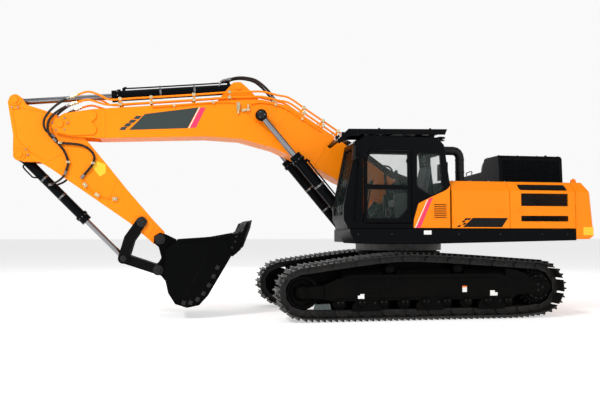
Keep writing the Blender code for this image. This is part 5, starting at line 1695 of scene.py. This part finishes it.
def hose_piece(name, line, radius, body=None):
    """A round rubber hose along a line around the slew axis. It has no parent unless a body is named."""
    data = bpy.data.meshes.new(name)
    shape = tube(line, radius, 12)
    bmesh.ops.translate(shape, verts=shape.verts, vec=(0, SLEW_Y, 0))
    shape.to_mesh(data)
    shape.free()
    data.materials.append(PAINTS["hose"])
    data.shade_smooth()
    made = bpy.data.objects.new(name, data)
    bpy.context.scene.collection.objects.link(made)
    if body:
        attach(made, body)
    return made


def joined_hose(name, points, bodies, ends, radius=HOSE_RADIUS):
    """A curved hose between two bodies of one joint, with a crimped collar at each end. Each collar rides on
    its body; the hose itself has no parent.
    """
    line = curve(points, 8)
    made = hose_piece(name, line, radius)
    start, end = [tuple(Vector(point) + Vector((0, SLEW_Y, 0))) for point in ends]
    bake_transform(made)
    start = (line[1] - line[0]).normalized()
    finish = (line[-2] - line[-1]).normalized()
    collar = [(0.0, radius * 1.45), (0.012, radius * 1.45), (0.014, radius * 1.22), (0.075, radius * 1.22)]
    piece(f"{name}_collar_a", bodies[0], "bolt", [turned(collar, line[0], start, 14)])
    piece(f"{name}_collar_b", bodies[1], "bolt", [turned(collar, line[-1], finish, 14)])
    return made


def build_boom_to_arm():
    """Four hoses that loop over the boom's nose to the arm."""
    lower = [(-6.100, 3.755), (-6.20, 3.705), (-6.32, 3.620), (-6.425, 3.510), (-6.470, 3.385),
             (-6.445, 3.225), (-6.340, 3.105)]
    upper = [(-6.100, 3.886), (-6.20, 3.835), (-6.34, 3.730), (-6.47, 3.590), (-6.535, 3.440),
             (-6.505, 3.290), (-6.370, 3.175)]
    runs = {
        "nose_hose_a": (LOWER_PIPE[0], lower, 0.262),
        "nose_hose_b": (-LOWER_PIPE[0], lower, -0.262),
        "nose_hose_c": (UPPER_PIPE[0], upper, 0.262),
        "nose_hose_d": (-UPPER_PIPE[0], upper, -0.262),
    }
    for name, (x, path, far) in runs.items():
        bend = math.copysign(0.330, far)
        widths = [x, x, x * 1.06, (x + bend) / 2, bend, bend, far]
        points = [(width, y, z) for width, (y, z) in zip(widths, path)]
        joined_hose(name, points, ("boom", "arm"), (points[1], points[-1]))


def build_arm_hoses():
    """The hoses on along the arm, one to the arm's side fitting and one on to the bucket cylinder."""
    face = ARM_HALF + 0.037
    loop = [(-6.340, 3.105), (-6.268, 3.075), (-5.947, 3.050), (-5.776, 2.975), (-5.689, 2.853),
            (-5.704, 2.728), (-5.771, 2.621), (-5.888, 2.477)]
    for side, word in ((1, "left"), (-1, "right")):
        points = [at_x(side * face, point) for point in loop[:-1]] + [at_x(side * (ARM_HALF + 0.02),
                                                                           loop[-1])]
        hose_piece(f"arm_hose_{word}", curve(points, 8), HOSE_RADIUS, "arm")
        start = (points[-2] - points[-1]).normalized()
        collar = turned([(-0.03, 0.020), (0.0, 0.030), (0.05, 0.030), (0.055, 0.026)], points[-1], start, 14)
        piece(f"arm_hose_end_{word}", "arm", "bolt", [collar])
        lower = [(-6.370, 3.175), (-6.285, 3.045), (-6.198, 2.931), (-6.128, 2.738), (-6.159, 2.580)]
        points = [at_x(side * face, point) for point in lower]
        hose_piece(f"arm_lower_hose_{word}", curve(points, 8), HOSE_RADIUS, "arm")
    clips, bolts = [], []
    for y, z in ((-6.268, 3.075), (-6.128, 2.738), (-5.704, 2.728)):
        for side in (1, -1):
            clips.append(side_prism([(y - 0.034, z - 0.020), (y + 0.034, z - 0.020), (y + 0.034, z + 0.020),
                                     (y - 0.034, z + 0.020)], side, ARM_HALF, face + 0.026))
            bolts += bolt((side * (face + 0.026), y, z), (side, 0, 0), 0.009)
    piece("arm_clips", "arm", "zinc", clips, 0.005)
    piece("arm_clip_bolts", "arm", "bolt", bolts)


def build_bucket_hoses():
    """From the arm's clips across to the ports of the bucket cylinder."""
    for side, word in ((1, "left"), (-1, "right")):
        path = [(0.262, -6.159, 2.580), (0.262, -6.190, 2.500), (0.245, -6.262, 2.425),
                (0.200, -6.350, 2.375), (0.150, -6.420, 2.350), (0.118, -6.462, 2.345)]
        points = [(side * x, y, z) for x, y, z in path]
        joined_hose(f"bucket_hose_{word}", points, ("arm", "bucket_cylinder"), (points[1], points[-2]),
                    0.019)


def build_arm_cylinder_hoses():
    """Ribbed hoses that arch over the foot of the arm cylinder to its ports."""
    for side, word in ((1, "left"), (-1, "right")):
        path = [(0.110, -2.440, 4.000), (0.110, -2.520, 4.120), (0.100, -2.640, 4.250),
                (0.085, -2.800, 4.365), (0.070, -2.980, 4.405), (0.060, -3.130, 4.405),
                (0.055, -3.270, 4.372), (0.055, -3.330, 4.355)]
        points = [(side * x, y, z) for x, y, z in path]
        joined_hose(f"arm_cylinder_hose_{word}", points, ("boom", "arm_cylinder"), (points[1], points[-2]),
                    0.023)
        block = box((side * 0.110 - 0.035, -2.48, 3.88), (side * 0.110 + 0.035, -2.40, 3.985))
        piece(f"arm_hose_block_{word}", "boom", "zinc", [block], 0.006)
        stub = tube(curve([(side * 0.055, -3.325, 4.357), (side * 0.055, -3.40, 4.345),
                           (side * 0.055, -3.46, 4.30), (side * 0.055, -3.48, 4.22)], 5), 0.019, 12)
        piece(f"arm_port_{word}", "arm_cylinder", "bolt", [stub])


def build_house_hoses():
    """The bundle that brings oil over the boom's foot, and one hose to each boom cylinder."""
    heights = [(-1.143, 3.26), (-0.95, 3.17), (-0.60, 2.93), (-0.25, 2.69), (0.05, 2.57), (0.27, 2.50),
               (0.42, 2.38), (0.490, 2.22), (0.512, 2.08)]
    for number in range(5):
        x = -0.24 + number * 0.12
        points = [at_x(x, point) for point in heights]
        joined_hose(f"foot_hose_{number}", points, ("house", "boom"), (points[-3], points[2]), 0.022)
    for side, word in ((1, "left"), (-1, "right")):
        x = side * 0.40
        points = [(x, -0.70, 1.70), (x, -0.78, 1.84), (x, -0.92, 1.90), (x + side * 0.04, -1.06, 1.86),
                  (side * BOOM_CYLINDER_X, -1.067, 1.822)]
        joined_hose(f"lift_hose_{word}", points, ("house", "boom_cylinders"), (points[1], points[-2]), 0.021)


def build_hoses():
    """Every hose of the boom, the arm and the cylinders."""
    build_boom_to_arm()
    build_arm_hoses()
    build_bucket_hoses()
    build_arm_cylinder_hoses()
    build_house_hoses()


def build_equipment():
    """The trim of the boom, the arm, the cylinders and the bucket."""
    build_boom_faces()
    build_boom_pins()
    build_boom_pipes()
    build_arm_trim()
    build_cylinder_trims()
    build_rod_eyes()
    build_linkage_trim()
    build_bucket()
    build_hoses()


# Picture

def look_at(target, place):
    """The rotation that turns a lamp at a place to its target."""
    heading = Vector(target) - Vector(place)
    return heading.to_track_quat("-Z", "Y").to_euler()


def area_light(name, place, target, size, power):
    """A rectangular lamp at a place, turned to its target."""
    data = bpy.data.lights.new(name, "AREA")
    data.shape = "RECTANGLE"
    data.size = size[0]
    data.size_y = size[1]
    data.energy = power
    made = bpy.data.objects.new(name, data)
    made.location = place
    made.rotation_euler = look_at(target, place)
    bpy.context.scene.collection.objects.link(made)


def build_stage():
    """A pale floor under soft lamps, with the key high on the camera's left."""
    bpy.ops.mesh.primitive_plane_add(size=400, location=(0, 0, -0.002))
    floor = bpy.context.object
    floor.name = "floor"
    tree = Tree("floor_white")
    tree.set(Base_Color=(0.80, 0.80, 0.80), Roughness=0.9, Emission_Color=(1.0, 1.0, 1.0),
             Emission_Strength=0.46)
    floor.data.materials.append(tree.material)
    middle = (0, 0, 1.8)
    area_light("key", (13, -12, 14), middle, (3.5, 3.5), 2450)
    area_light("fill", (15, 9, 7), middle, (10, 7), 210)
    area_light("top", (0, 0, 18), middle, (16, 16), 760)
    area_light("back", (-14, 4, 9), middle, (10, 8), 600)
    build_world()
    bpy.context.scene.view_settings.view_transform = "Standard"
    bpy.context.scene.view_settings.look = "None"


def build_world():
    """A white horizon all round that falls off to a dim sky."""
    world = bpy.data.worlds.new("studio")
    bpy.context.scene.world = world
    world.use_nodes = True
    nodes = world.node_tree.nodes
    links = world.node_tree.links
    place = nodes.new("ShaderNodeTexCoord")
    parts = nodes.new("ShaderNodeSeparateXYZ")
    fall = nodes.new("ShaderNodeMapRange")
    fall.interpolation_type = "SMOOTHSTEP"
    fall.inputs["From Min"].default_value = math.sin(math.radians(HORIZON[0]))
    fall.inputs["From Max"].default_value = math.sin(math.radians(HORIZON[1]))
    fall.inputs["To Min"].default_value = HORIZON_STRENGTH
    fall.inputs["To Max"].default_value = SKY_STRENGTH
    links.new(place.outputs["Generated"], parts.inputs["Vector"])
    links.new(parts.outputs["Z"], fall.inputs["Value"])
    backdrop = nodes["Background"]
    backdrop.inputs["Color"].default_value = (1.0, 1.0, 1.0, 1)
    links.new(fall.outputs["Result"], backdrop.inputs["Strength"])


def build_camera():
    """The camera, from its place and its two angles."""
    yaw = math.radians(CAMERA_YAW)
    pitch = math.radians(CAMERA_PITCH)
    heading = Vector((-math.cos(yaw) * math.cos(pitch), math.sin(yaw) * math.cos(pitch), math.sin(pitch)))
    data = bpy.data.cameras.new("camera")
    data.lens = CAMERA_LENS
    data.sensor_width = SENSOR
    data.clip_end = 400
    made = bpy.data.objects.new("camera", data)
    made.location = CAMERA_PLACE
    made.rotation_euler = heading.to_track_quat("-Z", "Y").to_euler()
    bpy.context.scene.collection.objects.link(made)
    bpy.context.scene.camera = made


dress_frame()
build_undercarriage()
build_house()
build_equipment()
build_stage()
build_camera()
